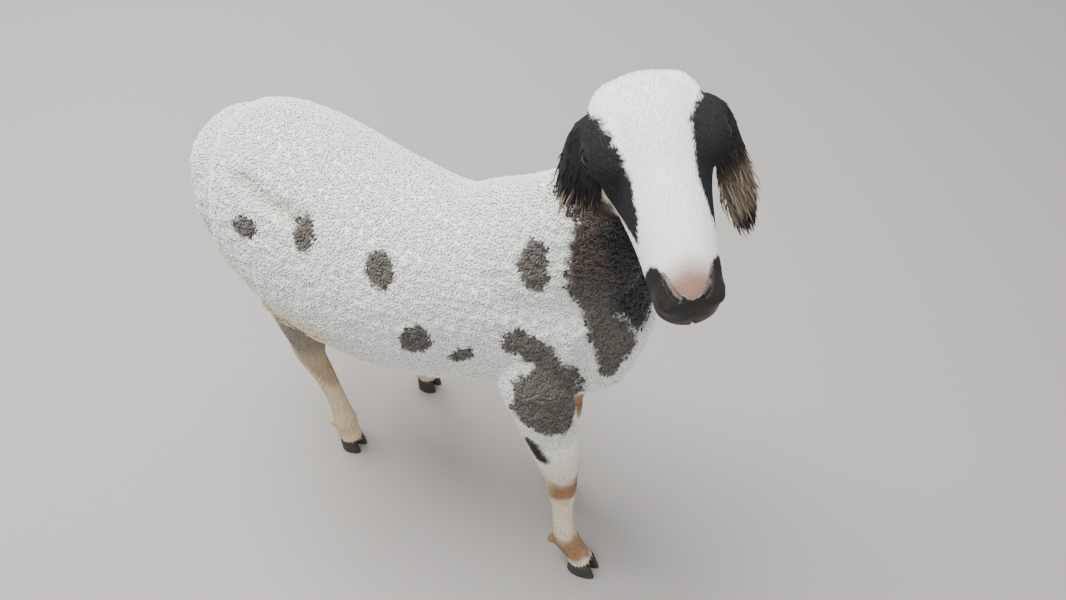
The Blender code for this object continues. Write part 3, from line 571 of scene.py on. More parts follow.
refined(skin, near_detail)
refined(skin, near_detail, relax=1)
shape = points_of(skin.data)
for side in (-1, 1):
    draw_lids(shape, side)
place_points(skin.data, shape)
print("skin with lids:", len(skin.data.polygons), "faces")

# %% [markdown]
# The mouth, the cleft under the nose and the nostrils are grooves. Their lines are found as a sculptor's
# gauge would find them, by rays that meet the muzzle from in front, and the skin near a line is pressed
# in, deepest on the line.

# %% Nostrils, cleft and mouth
MOUTH_STEPS, MOUTH_REACH = 24, math.radians(100)
MOUTH_MIDDLE, MOUTH_RADIUS = 0.105, 0.12  # of the arc that the rays start from
MOUTH_HEIGHT, MOUTH_RISE = -0.053, 0.006
CLEFT_TOP, CLEFT_BOTTOM, CLEFT_RAYS = -0.018, -0.052, 8
FAR_AHEAD, ABOVE = 0.30, 0.10
NOSTRIL = ((0.127, 0.0220), (0.133, 0.0200), (0.139, 0.0175), (0.144, 0.0150), (0.148, 0.0115))
MOUTH_GROOVE, CLEFT_GROOVE = (0.0032, 0.0034), (0.0022, 0.0018)  # width and depth
NOSTRIL_GROOVE = (0.0038, 0.0062)
FAR_OFF = 10.0  # metres, further than anything on the animal


def on_skin(tree, start, direction):
    """Where a ray in the head's frame meets the skin."""
    way = (head_place.to_3x3() @ Vector(direction)).normalized()
    return np.array(tree.ray_cast(head_place @ Vector(start), way)[0])


def line_distance(points, line):
    """How far points are from a line that runs from corner to corner."""
    nearest = np.full(len(points), FAR_OFF)
    for start, end in zip(np.array(line), np.array(line)[1:]):
        along = end - start
        share = np.clip((points - start) @ along / (along @ along), 0, 1)
        nearest = np.minimum(nearest, np.linalg.norm(points - start - share[:, None] * along, axis=1))
    return nearest


def pressed(mesh, line, width, depth):
    """Presses a groove into the skin along a line of points."""
    points, normals = points_of(mesh), normals_of(mesh)
    press = depth * np.clip(1 - (line_distance(points, line) / width) ** 2, 0, 1) ** 1.5
    place_points(mesh, points - normals * press[:, None])


tree = BVHTree.FromObject(skin, bpy.context.evaluated_depsgraph_get())
mouth = []
for step in range(MOUTH_STEPS + 1):
    angle = MOUTH_REACH * (2 * step / MOUTH_STEPS - 1)
    ahead, aside = math.cos(angle), math.sin(angle)
    height = MOUTH_HEIGHT + MOUTH_RISE * (1 - ahead)
    start = (MOUTH_MIDDLE + MOUTH_RADIUS * ahead, MOUTH_RADIUS * aside, height)
    mouth.append(on_skin(tree, start, (-ahead, -aside, 0)))
cleft_heights = np.linspace(CLEFT_TOP, CLEFT_BOTTOM, CLEFT_RAYS)
cleft = [on_skin(tree, (FAR_AHEAD, 0, height), (-1, 0, 0)) for height in cleft_heights]
nostrils = [
    [on_skin(tree, (x, side * y, ABOVE), (0, 0, -1)) for x, y in NOSTRIL]
    for side in (-1, 1)
]
pressed(skin.data, mouth, *MOUTH_GROOVE)
pressed(skin.data, cleft, *CLEFT_GROOVE)
for line in nostrils:
    pressed(skin.data, line, *NOSTRIL_GROOVE)
skin.data.shade_smooth()
print("grooves:", 2 + len(nostrils))

# %% [markdown]
# Hair and skin take their colours from a flat layout of the skin, as a furrier lays out a hide. Smart
# projection cuts the surface where it bends and lays the parts beside each other.

# %% The hide laid flat
BAKE_MAP = "OFBake"
LAYOUT_ANGLE, SKIN_MARGIN = math.radians(66), 0.002


def lay_flat(obj, margin):
    """Gives an object a layout of all its faces, cut where the surface bends."""
    make_active(obj)
    obj.data.uv_layers.new(name=BAKE_MAP)
    bpy.ops.object.mode_set(mode="EDIT")
    bpy.ops.mesh.select_all(action="SELECT")
    bpy.ops.uv.smart_project(angle_limit=LAYOUT_ANGLE, island_margin=margin)
    bpy.ops.object.mode_set(mode="OBJECT")


lay_flat(skin, SKIN_MARGIN)
print("layout:", len(skin.data.uv_layers), "map of", len(skin.data.loops), "corners")

# %% [markdown]
# Where wool grows and where short hair grows is one question for skin and coat alike, so it is one
# function. Wool covers trunk, tail and neck, and fades out on the upper legs, at the nape, on the
# throat and under the jaw. Each fade is a pair: where the wool begins and where it is full.

# %% Wool or hair
JAW_FADE, NAPE_FADE_BACK, NAPE_FADE_DOWN = (-0.002, 0.014), (0.050, 0.078), (0.000, 0.030)
THROAT_TOP, THROAT_FRONT = -0.078, 0.045  # head z and head x
THROAT_FADE_DOWN, THROAT_FADE_BACK = (-0.004, 0.012), (0, 0.015)
LEG_FADE = (-0.012, 0.050)  # above the edge of the wool
TRUNK_FADE = (0.95, 1.15)  # squares of shares of the trunk's section, full at the first


def ramp(value, low, high):
    """0 below low, 1 above high, smooth between."""
    t = np.clip((value - low) / (high - low), 0, 1)
    return t * t * (3 - 2 * t)


def wool_share(points):
    """1 on full wool, 0 on short hair."""
    local = in_frame(points, head_place)
    below_jaw = ramp(JAW_DEPTH - local[:, 2], *JAW_FADE)
    at_nape = ramp(-local[:, 0], *NAPE_FADE_BACK) * ramp(-local[:, 2], *NAPE_FADE_DOWN)
    at_throat = ramp(THROAT_TOP - local[:, 2], *THROAT_FADE_DOWN)
    at_throat *= ramp(THROAT_FRONT - local[:, 0], *THROAT_FADE_BACK)
    off_face = np.max((below_jaw, at_nape, at_throat), axis=0)
    spots = points + np.array(MIDDLE)
    stations = np.array(TRUNK)
    _, y, z, width, height = (np.interp(spots[:, 0], stations[:, 0], column) for column in stations.T)
    trunk = ((spots[:, 1] - y) / width) ** 2 + ((spots[:, 2] - z) / height) ** 2
    edge = np.where(spots[:, 0] > 0, WOOL_EDGE_FORE, WOOL_EDGE_HIND)
    above_leg = ramp(spots[:, 2], edge + LEG_FADE[0], edge + LEG_FADE[1])
    return off_face * np.maximum(above_leg, 1 - ramp(trunk, *TRUNK_FADE))


print("wool on", round(100 * float(wool_share(points_of(skin.data)).mean())), "% of the skin's points")

# %% [markdown]
# The markings are shapes on the body: spots as ovals with two half axes, patches as outlines laid on the
# side of the shoulder and the neck, and the face's patches as outlines along the head and round it, in
# degrees from the middle of the forehead. A mask says how far inside a shape a point is, and a ripple
# makes its edge uneven, as hair does.

# %% Shapes of the markings
SPOTS = (  # middle, half axis along the body, half axis down the side
    ((-0.186, -0.105, 0.538), (0.0175, 0.0042, 0.0057), (-0.0029, 0.0074, 0.0114)),
    ((-0.107, -0.088, 0.558), (0.0120, 0.0065, 0.0000), (-0.0087, 0.0146, 0.0104)),
    ((-0.012, -0.082, 0.548), (0.0152, 0.0064, 0.0026), (-0.0080, 0.0144, 0.0140)),
    ((0.147, -0.035, 0.602), (0.0150, 0.0007, 0.0084), (-0.0073, 0.0105, 0.0266)),
    ((0.040, -0.102, 0.480), (0.0175, 0.0060, 0.0050), (-0.0029, 0.0064, 0.0186)),
    ((0.091, -0.092, 0.468), (0.0139, 0.0030, 0.0064), (0.0000, 0.0020, 0.0125)),
    ((-0.145, 0.112, 0.520), (0.0200, -0.0030, 0.0040), (0.0020, -0.0060, 0.0150)),
    ((0.020, 0.112, 0.500), (0.0170, 0.0020, 0.0000), (0.0000, -0.0050, 0.0180)),
    ((0.105, 0.080, 0.545), (0.0150, 0.0000, 0.0050), (0.0000, -0.0120, 0.0140)),
)
SHOULDER = (
    (0.1287, -0.0702, 0.5079), (0.1514, -0.0606, 0.5257), (0.1804, -0.0538, 0.5143),
    (0.2174, -0.0467, 0.4682), (0.2253, -0.0386, 0.4237), (0.2245, -0.0550, 0.4000),
    (0.2206, -0.0704, 0.3789), (0.1974, -0.0954, 0.3839), (0.1756, -0.0971, 0.3951),
    (0.1533, -0.0828, 0.4069), (0.1519, -0.0788, 0.4448), (0.1590, -0.0790, 0.4600),
    (0.1700, -0.0700, 0.4740), (0.1520, -0.0671, 0.4836), (0.1357, -0.0725, 0.4841),
)
NECK_PATCH = (
    (0.1700, 0.0000, 0.7000), (0.1660, -0.0106, 0.6525), (0.1835, -0.0369, 0.5911),
    (0.2041, -0.0357, 0.5567), (0.2207, -0.0400, 0.5238), (0.2386, -0.0376, 0.4637),
    (0.2512, -0.0320, 0.4614), (0.2634, 0.0012, 0.5019), (0.2371, -0.0093, 0.5439),
    (0.2542, 0.0161, 0.5249), (0.2509, 0.0387, 0.5441), (0.2431, 0.0076, 0.6078),
    (0.2350, -0.0050, 0.6600), (0.1900, 0.0000, 0.7000),
)
EYE_PATCH = {  # head x and degrees round the head, on each side
    -1: ((-0.060, -95), (-0.050, -62), (-0.023, -40), (0.012, -32), (0.047, -35), (0.073, -41),
         (0.091, -60), (0.052, -91), (0.013, -112), (-0.020, -124), (-0.055, -125)),
    1: ((-0.060, 95), (-0.050, 58), (-0.023, 37), (0.001, 25), (0.027, 26), (0.062, 29),
        (0.081, 42), (0.090, 60), (0.052, 91), (0.013, 112), (-0.020, 124), (-0.055, 125)),
}
ROUND_HEAD = 0.055  # metres that a radian is worth, for distances round the head
TURN_AXIS = 0.028  # how far below the head's line the axis of these degrees lies
HEAD_REACH, FACE_REACH = 0.20, 0.15  # from the middle of the head to the ends of head and face
SPOT_REACH, SIDE_REACH = 0.05, 0.06  # how far from its plane a spot or a patch may lie
OUTSIDE = -1.0  # the depth of points that are nowhere near a shape
RIPPLE_WAVES = 10


def ripple(points, size, seed):
    """A smooth uneven field with waves of about this size, from -1 to 1 or so."""
    draw = np.random.default_rng(seed)
    total = np.zeros(len(points))
    for _ in range(RIPPLE_WAVES):
        way = draw.normal(size=3)
        way *= 2 * math.pi / (size * draw.uniform(0.7, 1.5)) / np.linalg.norm(way)
        total += np.sin(points @ way + draw.uniform(0, 2 * math.pi))
    return total / math.sqrt(RIPPLE_WAVES)


def outline_depth(flat, outline):
    """How far inside an outline points of a plane are, negative outside it."""
    corners = np.array(outline, float)
    inside = np.zeros(len(flat), bool)
    for start, end in zip(corners, np.roll(corners, -1, axis=0)):
        along = end - start
        crosses = (start[1] > flat[:, 1]) != (end[1] > flat[:, 1])
        with np.errstate(divide="ignore", invalid="ignore"):
            level_x = start[0] + (flat[:, 1] - start[1]) * along[0] / along[1]
        inside ^= crosses & (flat[:, 0] < level_x)
    nearest = line_distance(flat, (*corners, corners[0]))
    return np.where(inside, nearest, -nearest)


def spot_depth(points, spot):
    """About how far inside an oval spot points are."""
    middle, long_axis, short_axis = (np.array(part) for part in spot)
    axes = np.stack((long_axis, short_axis))
    shares = (points - middle) @ np.linalg.pinv(axes)
    off_plane = np.linalg.norm(points - middle - shares @ axes, axis=1)
    size = math.sqrt(np.linalg.norm(long_axis) * np.linalg.norm(short_axis))
    return np.where(off_plane < SPOT_REACH, (1 - np.linalg.norm(shares, axis=1)) * size, OUTSIDE)


def side_depth(points, outline):
    """How far inside an outline laid on the side of the body points are."""
    corners = np.array(outline)
    middle = corners.mean(axis=0)
    axes = np.linalg.svd(corners - middle)[2]
    rel = (points - middle) @ axes.T
    flat = (corners - middle) @ axes.T
    return np.where(np.abs(rel[:, 2]) < SIDE_REACH, outline_depth(rel[:, :2], flat[:, :2]), OUTSIDE)


def on_head(local):
    """True for the points of the head's frame that are near its middle."""
    return np.linalg.norm(local, axis=1) < HEAD_REACH


def round_head(local):
    """Radians round the head from the middle of the forehead, positive to the left."""
    return np.arctan2(local[:, 1], local[:, 2] + TURN_AXIS)


def face_depth(points, outline):
    """How far inside an outline along and round the head points are."""
    local = in_frame(points, head_place)
    flat = np.stack((local[:, 0], round_head(local) * ROUND_HEAD), axis=1)
    corners = [(x, math.radians(angle) * ROUND_HEAD) for x, angle in outline]
    return np.where(np.linalg.norm(local, axis=1) < FACE_REACH, outline_depth(flat, corners), OUTSIDE)


def mask_of(depth, points, soft, rough, size, seed):
    """From the depth inside a shape to 0 to 1, with an edge this soft and this rough."""
    return ramp(depth + rough * ripple(points, size, seed), -soft, soft)


print("markings:", len(SPOTS), "spots,", 2 + len(EYE_PATCH), "patches")

# %% [markdown]
# Wool lies in soft knobs a centimetre or two across, and it folds where the thigh meets the loin. Both
# are in the skin, so that the locks that grow on it follow them. The back is as smooth as felt.

# %% Knobs and fold of the fleece
KNOBS, KNOB_RISE, KNOB_SEED = 0.013, 0.0010, 5
BACK_SMOOTHER, BACK_SLOPES = 0.8, (0.35, 0.85)  # how much lower the knobs are where the way out is steep
CREASE_WIDTH, CREASE_DEPTH = 0.017, 0.0065
CREASE = ((-0.205, -0.066, 0.572), (-0.156, -0.080, 0.568), (-0.122, -0.078, 0.566))

pressed(skin.data, CREASE, CREASE_WIDTH, CREASE_DEPTH)
shape, ways_out = points_of(skin.data), normals_of(skin.data)
lower = 1 - BACK_SMOOTHER * ramp(ways_out[:, 2], *BACK_SLOPES)
knobs = ripple(shape, KNOBS, KNOB_SEED) * KNOB_RISE * lower * wool_share(shape)
place_points(skin.data, shape + ways_out * knobs[:, None])
print("knobs rise", round(1000 * float(knobs.max()), 1), "mm at most")

# %% [markdown]
# Colours are linear red, green and blue. The wool is warm white and yellower low on the thighs, the
# spots are a grizzled grey-brown, and the face is white with black patches. The legs are cream with tan
# knees and fetlocks. Skin and hairs ask the same function, so they always agree.

# %% Colours of the coat
WOOL_WHITE, HAIR_WHITE = (0.87, 0.865, 0.83), (0.85, 0.83, 0.79)
CREAM, YELLOWED, TAN = (0.56, 0.42, 0.21), (0.68, 0.57, 0.30), (0.24, 0.105, 0.030)
# The grey-tan below is partly the hind legs' own colour and partly painted shade on their fronts.
GREY_TAN_AND_SHADE, SOCK_WHITE = (0.125, 0.088, 0.048), (0.60, 0.48, 0.29)
BLACK, UMBER, GRIZZLE = (0.009, 0.009, 0.010), (0.036, 0.022, 0.015), (0.080, 0.067, 0.052)
# The last of these, the fold's grey, is painted shade, not a colour of the wool.
MUZZLE_GREY, NOSE_PINK, FOLD_PAINTED_SHADE = (0.012, 0.0105, 0.009), (0.225, 0.095, 0.050), (0.40, 0.36, 0.26)

# Each edge says how soft it is, how rough, and how long the ripples of the roughness are.
SPOT_EDGE, PATCH_EDGE = (0.003, 0.0022, 0.012), (0.004, 0.003, 0.02)
FACE_EDGE, MUZZLE_EDGE = (0.0014, 0.0012, 0.006), (0.0014, 0.0006, 0.006)
SHOULDER_SEED, NECK_SEED, FACE_SEED, MUZZLE_SEED = 31, 32, 41, 44
DASH = ((0.190, -0.085, 0.350), (0.203, -0.082, 0.318))  # a black mark on the right foreleg
DASH_HALF, DASH_SOFT = 0.0135, 0.003
PINK_WEDGE = (  # how far ahead in the head's frame, and half the width of the pink there
    (0.110, 0.0330), (0.114, 0.0290), (0.125, 0.0205), (0.132, 0.0172),
    (0.138, 0.0162), (0.144, 0.0122), (0.1495, 0.0040), (0.152, -0.0100),
)
THROAT_EDGE = (  # how far below the head, and the degrees round it where the black begins
    (0.060, 134), (0.090, 136), (0.106, 142), (0.125, 150),
    (0.148, 156), (0.175, 159), (0.210, 162), (0.250, 170),
)
MUZZLE_INSET, LIP_HEIGHT = 0.002, -0.014
BARE_FRONT, BARE_SLOPE, BARE_FADE = 0.126, 0.10, (-0.004, 0.006)
REAR, REAR_FADE = -0.02, (-0.04, 0.10)  # body x behind which the wool is yellower
YELLOW_HEIGHT, YELLOW_FADE = 0.425, (-0.02, 0.10)
# The fold's grey is painted shade, and this is how wide it spreads from the fold's line.
CREASE_SHADE = 0.008  # how wide the fold's grey is
JAW_DEGREES, AHEAD_FADE = (80, 100), (0.0, 0.02)  # of the cream stripe under the cheek
THROAT_CHIN, THROAT_BELOW, THROAT_END = 0.100, (0.04, 0.07), (-0.262, -0.240)
NOSE_SLOPE, NOSE_FADE = 0.30, (0.108, 0.137)
BROWN_FADE = (0.55, 0.63)  # heights between which the neck's patch turns from grey to brown


def blended(colours, colour, mask):
    return colours * (1 - mask[:, None]) + np.array(colour) * mask[:, None]


def muzzle_depth(local):
    """How far inside the black of the muzzle points of the head are: a U round the pink nose."""
    x, y, z = local.T
    beside = x - FACE_FRONT - MUZZLE_INSET
    above = np.abs(y) - np.interp(x, *zip(*PINK_WEDGE))
    return np.where(z > LIP_HEIGHT, np.minimum(beside, above), beside)


def throat_share(local, turn):
    """1 on the black of the throat, which lies between the cheeks and ends on the neck."""
    edge = np.interp(-local[:, 2], *zip(*THROAT_EDGE))
    throat = ramp(turn, edge - 2, edge + 4) * ramp(THROAT_CHIN - local[:, 0], 0, 0.012)
    throat *= ramp(-local[:, 2], *THROAT_BELOW)
    return throat * (ramp(local[:, 2], *THROAT_END) * ramp(local[:, 0], *AHEAD_FADE))


def patch_shares(points):
    """1 on the grizzled spots and shoulder, and 1 on the neck's patch."""
    grizzled = mask_of(side_depth(points, SHOULDER), points, *PATCH_EDGE, SHOULDER_SEED)
    for number, spot in enumerate(SPOTS):
        grizzled = np.maximum(grizzled, mask_of(spot_depth(points, spot), points, *SPOT_EDGE, number))
    return grizzled, mask_of(side_depth(points, NECK_PATCH), points, *PATCH_EDGE, NECK_SEED)


LEG_TOP, CREAM_FULL, CREAM_FORE, CREAM_HIND = 0.36, 0.24, 0.60, 0.80  # heights, then strengths
FORE_FROM = 0.02  # legs ahead of this are forelegs
LEG_BOX = (0.11, 0.045, 0.40)  # half length and half width round a foot, and height
LEG_RIPPLE, LEG_RIPPLE_SIZE, LEG_SEED = 0.006, 0.02, 11
FETLOCK_TOP, FETLOCK_FADE, FETLOCK_FOOT = 0.096, (-0.014, 0.018), (0.030, 0.056)
KNEE_HEIGHT, KNEE_HALF, KNEE_FADE, KNEE_BACK = 0.220, 0.040, 0.030, (-0.085, -0.055)
HOCK_HEIGHT, HOCK_BACK, SHIN_SLOPE = 0.242, 0.051, 0.6
SHIN_TOP, SHIN_FADE, THIGH_TOP, THIGH_FADE = 0.26, 0.04, 0.386, 0.02


def leg_colours(points, colours):
    """Cream legs, tan knees and fetlocks in front, pale fetlocks behind, and hind fronts of grey-tan and
    painted shade.
    """
    x, y, z = points.T
    cream = np.where(x > FORE_FROM, CREAM_FORE, CREAM_HIND) * (1 - ramp(z, CREAM_FULL, LEG_TOP))
    short_haired = (z < LEG_TOP) & (wool_share(points) < 0.9)
    colours = np.where(short_haired[:, None], blended(colours, CREAM, cream), colours)
    uneven = LEG_RIPPLE * ripple(points, LEG_RIPPLE_SIZE, LEG_SEED)
    for name, (foot_x, foot_y) in FEET.items():
        place_x, place_y = foot_x - MIDDLE.x, foot_y - MIDDLE.y
        near = (np.abs(x - place_x) < LEG_BOX[0]) & (np.abs(y - place_y) < LEG_BOX[1]) & (z < LEG_BOX[2])
        fetlock = near * ramp(FETLOCK_TOP - z + uneven, *FETLOCK_FADE) * ramp(z + uneven, *FETLOCK_FOOT)
        colours = blended(colours, TAN if "front" in name else SOCK_WHITE, 0.85 * fetlock)
        if "front" in name:
            knee = near * ramp(KNEE_HALF - np.abs(z - KNEE_HEIGHT + uneven), 0, KNEE_FADE)
            knee *= ramp(x, place_x + KNEE_BACK[0], place_x + KNEE_BACK[1])
            colours = blended(colours, TAN, 0.9 * knee)
        else:
            # The fronts of the hind legs are partly their own colour and partly painted shade on the side
            # away from the light: tan on the shin, grey-tan on the thigh.
            below_hock = SHIN_SLOPE * np.clip(HOCK_HEIGHT - z, 0, 0.1)
            front = ramp(x - place_x + HOCK_BACK - below_hock, 0.000, 0.012)
            shin = 0.40 * near * front * ramp(SHIN_TOP - z, 0, SHIN_FADE)
            colours = blended(colours, TAN, shin * (1 - fetlock))
            high = 0.25 + 0.75 * ramp(z, 0.200, 0.320)
            thigh = 0.85 * near * front * high * ramp(THIGH_TOP - z + uneven, 0, THIGH_FADE)
            colours = blended(colours, GREY_TAN_AND_SHADE, thigh * (1 - fetlock))
    return colours


def coat_colours(points):
    """Linear colours of the coat at points of the skin, and how dark the coat is there."""
    local = in_frame(points, head_place)
    wool = wool_share(points)
    colours = np.array(HAIR_WHITE) * (1 - wool[:, None]) + np.array(WOOL_WHITE) * wool[:, None]
    hind = ramp(REAR - points[:, 0], *REAR_FADE)
    low = ramp(YELLOW_HEIGHT + 0.05 * hind - points[:, 2] + 0.02 * ripple(points, 0.05, 3), *YELLOW_FADE)
    colours = blended(colours, YELLOWED, low * (0.35 + 0.60 * hind) * wool)
    # Painted shade: grey laid along the fold where the thigh meets the loin, darkest on its line.
    painted_fold_shade = np.exp(-((line_distance(points, CREASE) / CREASE_SHADE) ** 2))
    colours = blended(colours, FOLD_PAINTED_SHADE, 0.75 * painted_fold_shade)
    colours = leg_colours(points, colours)

    grizzled, neck = patch_shares(points)
    black = ramp(DASH_HALF - line_distance(points, DASH), -DASH_SOFT, DASH_SOFT)
    turn = np.degrees(np.abs(round_head(local)))
    throat = throat_share(local, turn)
    jaw_line = ramp(turn, *JAW_DEGREES) * (1 - wool) * ramp(local[:, 0], *AHEAD_FADE) * on_head(local)
    colours = blended(colours, CREAM, 0.55 * jaw_line)
    for side, outline in EYE_PATCH.items():
        eye_patch = mask_of(face_depth(points, outline), points, *FACE_EDGE, FACE_SEED + side)
        black = np.maximum(black, eye_patch)
    muzzle = on_head(local) * mask_of(muzzle_depth(local), points, *MUZZLE_EDGE, MUZZLE_SEED)
    ahead = ramp(local[:, 0] - NOSE_SLOPE * np.abs(local[:, 1]), *NOSE_FADE)
    colours = blended(colours, NOSE_PINK, 0.90 * (on_head(local) * ahead * (1 - muzzle)))
    colours = blended(colours, GRIZZLE, np.maximum(grizzled, neck))
    colours = blended(colours, UMBER, neck * ramp(points[:, 2], *BROWN_FADE))
    colours = blended(colours, BLACK, np.maximum(black, throat))
    colours = blended(colours, MUZZLE_GREY, muzzle)
    return colours, np.max((grizzled, neck, black, throat, muzzle), axis=0)


def bare_skin(points):
    """1 on the hairless skin of nose and lips."""
    local = in_frame(points, head_place)
    depth = local[:, 0] - BARE_FRONT - BARE_SLOPE * np.abs(local[:, 1])
    return on_head(local) * ramp(depth, *BARE_FADE)


def paint_points(mesh, colours, name="coat"):
    layer = mesh.color_attributes.new(name=name, type="FLOAT_COLOR", domain="POINT")
    layer.data.foreach_set("color", np.column_stack((colours, np.ones(len(colours)))).ravel())


def keep_value(mesh, name, values):
    mesh.attributes.new(name=name, type="FLOAT", domain="POINT").data.foreach_set("value", values)


# The skin between the locks is painted a little darker than the locks over it, as painted shade deep in the
# wool.
UNDER_WOOL_SHADE = 0.98  # how light the skin is between the locks, against their colour
shape = points_of(skin.data)
tones, _ = coat_colours(shape)
painted_under_wool_shade = 1 - (1 - UNDER_WOOL_SHADE) * wool_share(shape)
paint_points(skin.data, tones * painted_under_wool_shade[:, None])
keep_value(skin.data, "bare", bare_skin(shape))
print("painted", len(shape), "points of skin")

# %% [markdown]
# Materials are graphs of nodes, and their maths reads best as ordinary sums. One small class wraps a
# socket of a node and makes plus, minus and times add a Math node. A second one starts a material and
# adds any other node from its type, its settings and what its sockets hold.

# %% Sums of shader values


class Wire:
    def __init__(self, look, socket):
        self.look, self.socket = look, socket

    def sum_with(self, operation, first, second):
        return self.look.add("ShaderNodeMath", {"operation": operation}, {0: first, 1: second})

    def __add__(self, other):
        return self.sum_with("ADD", self, other)

    def __sub__(self, other):
        return self.sum_with("SUBTRACT", self, other)

    def __rsub__(self, other):
        return self.sum_with("SUBTRACT", other, self)

    def __mul__(self, other):
        return self.sum_with("MULTIPLY", self, other)

    def __truediv__(self, other):
        return self.sum_with("DIVIDE", self, other)

    def __pow__(self, other):
        return self.sum_with("POWER", self, other)

    __radd__, __rmul__ = __add__, __mul__


class Look:
    """A material with its principled shader."""

    def __init__(self, name, **constants):
        self.material = bpy.data.materials.new(name)
        self.material.use_nodes = True
        self.tree = self.material.node_tree
        self.shader = self.tree.nodes["Principled BSDF"]
        for label, value in constants.items():
            self.shader.inputs[label.replace("_", " ")].default_value = value

    def put(self, socket, value):
        if isinstance(value, Wire):
            self.tree.links.new(value.socket, socket)
        else:
            socket.default_value = value

    def add(self, kind, settings=None, sockets=None, out=0):
        """Any node: its settings first, then what its sockets hold; gives the wire of one output."""
        node = self.tree.nodes.new(kind)
        for label, value in (settings or {}).items():
            if label == "stops":
                while len(node.color_ramp.elements) < len(value):
                    node.color_ramp.elements.new(1.0)
                for element, (place, colour) in zip(node.color_ramp.elements, value):
                    element.position, element.color = place, colour
            else:
                setattr(node, label, value)
        for label, value in (sockets or {}).items():
            self.put(node.inputs[label], value)
        return Wire(self, node.outputs[out])

    def spots(self):
        return self.add("ShaderNodeTexCoord", out="Object")

    def noise(self, scale, detail=3.0, where=None):
        settings = {"Vector": where or self.spots(), "Scale": scale, "Detail": detail}
        return self.add("ShaderNodeTexNoise", sockets=settings)

    def value_of(self, attribute, out="Fac"):
        return self.add("ShaderNodeAttribute", {"attribute_name": attribute}, out=out)

    def tinted(self, colour, dark, light, share):
        """A colour scaled between two strengths by a share from 0 to 1."""
        strength = share * (light - dark) + dark
        return self.add("ShaderNodeVectorMath", {"operation": "SCALE"}, {0: colour, "Scale": strength})

    def bump(self, height, distance, strength=1.0):
        sockets = {"Height": height, "Distance": distance, "Strength": strength}
        return self.add("ShaderNodeBump", sockets=sockets)

    def mixed(self, share, first, second):
        """One colour where a share is 0, and another where it is 1."""
        return self.add("ShaderNodeMix", {"data_type": "RGBA"}, {0: share, 6: first, 7: second}, out=2)

    def eased(self, value, low, high, start, end):
        """The start below low and the end above high, smooth between."""
        settings = {"interpolation_type": "SMOOTHSTEP"}
        return self.add("ShaderNodeMapRange", settings, {0: value, 1: low, 2: high, 3: start, 4: end})

    def toned(self, share, stops):
        """Colours at places from 0 to 1, read off at a share."""
        return self.add("ShaderNodeValToRGB", {"stops": stops}, {0: share})

    def feeds(self, **wires):
        for label, wire in wires.items():
            self.put(self.shader.inputs[label.replace("_", " ")], wire)


print("shader helpers:", [maker.__name__ for maker in (Wire, Look)])

# %% [markdown]
# The skin's look has two parts. Where hair grows, its colour is broken up by fine noise and a bump of
# short streaks lies over it. The bare nose and lips are smoother and a little moist, with the small
# pebbles that a sheep's nose has.

# %% The look of skin and hair
hide = Look("hide", Roughness=0.85, Specular_IOR_Level=0.3)
bare = hide.value_of("bare")
fine, streaks = hide.noise(900, 2), hide.noise(380, 4)
pebbles = hide.add("ShaderNodeTexVoronoi", {"feature": "F1"}, {"Vector": hide.spots(), "Scale": 620.0})
hair_height = fine * 0.5 + streaks * 0.5
hide.feeds(
    Base_Color=hide.tinted(hide.value_of("coat", "Color"), 0.88, 1.08, hair_height),
    Roughness=0.88 - bare * 0.42,
    Normal=hide.bump(hair_height * (1 - bare) + pebbles * bare * 0.6, 0.0006),
)
skin.data.materials.clear()
skin.data.materials.append(hide.material)


def strand_look(name, grain, detail, tints, roughness, height, **constants):
    """A look for strands: a fine grain runs through the coat's colour, its roughness and a bump."""
    look = Look(name, **constants)
    noise = look.noise(grain, detail)
    look.feeds(
        Base_Color=look.tinted(look.value_of("coat", "Color"), *tints, noise),
        Roughness=roughness[0] - noise * roughness[1],
        Normal=look.bump(noise, height),
    )
    return look


curls_look = strand_look(
    "curled_wool", grain=900, detail=3, tints=(0.96, 1.04), roughness=(0.95, 0.12), height=0.0006,
    Roughness=0.9, Sheen_Weight=0.2, Sheen_Roughness=0.5,
    Subsurface_Weight=0.6, Subsurface_Scale=0.004, Subsurface_Radius=(1.0, 1.0, 1.0),
)
hairs_look = strand_look(
    "straight_hair", grain=1100, detail=2, tints=(0.90, 1.08), roughness=(0.70, 0.15), height=0.0001,
    Roughness=0.62, Specular_IOR_Level=0.25,
)
print("looks:", [look.material.name for look in (hide, curls_look, hairs_look)])

# %% [markdown]
# Wool and hair grow from roots. Roots are scattered over the skin's triangles, more on larger ones, and
# those that fall too close to another are dropped. Each root knows its place, the way out of the skin,
# and its spot on the flat layout.

# %% Scattering roots
TRIES = 3.2  # roots drawn for each square of a spacing
BODY_LIE, LEG_LIE, FACE_LIE = (-0.75, 0.0, -0.60), (-0.1, 0, -1.0), (-1.0, 0, 0)
FACE_SPREAD = 9  # how fast the hair of the face turns outward, for each metre beside the nose
HEAD_LIE_FADE, LEG_LIE_TOP, LEG_LIE_FADE = (-0.15, -0.09), 0.37, 0.05


def surface_of(obj):
    """Corners, corner normals and layout places of an object's triangles."""
    mesh = obj.data
    mesh.calc_loop_triangles()
    count = len(mesh.loop_triangles)
    corners, loops = np.empty(count * 3, int), np.empty(count * 3, int)
    mesh.loop_triangles.foreach_get("vertices", corners)
    mesh.loop_triangles.foreach_get("loops", loops)
    flat = np.empty(len(mesh.loops) * 2)
    mesh.uv_layers[BAKE_MAP].data.foreach_get("uv", flat)
    corners = corners.reshape(-1, 3)
    return points_of(mesh)[corners], normals_of(mesh)[corners], flat.reshape(-1, 2)[loops.reshape(-1, 3)]


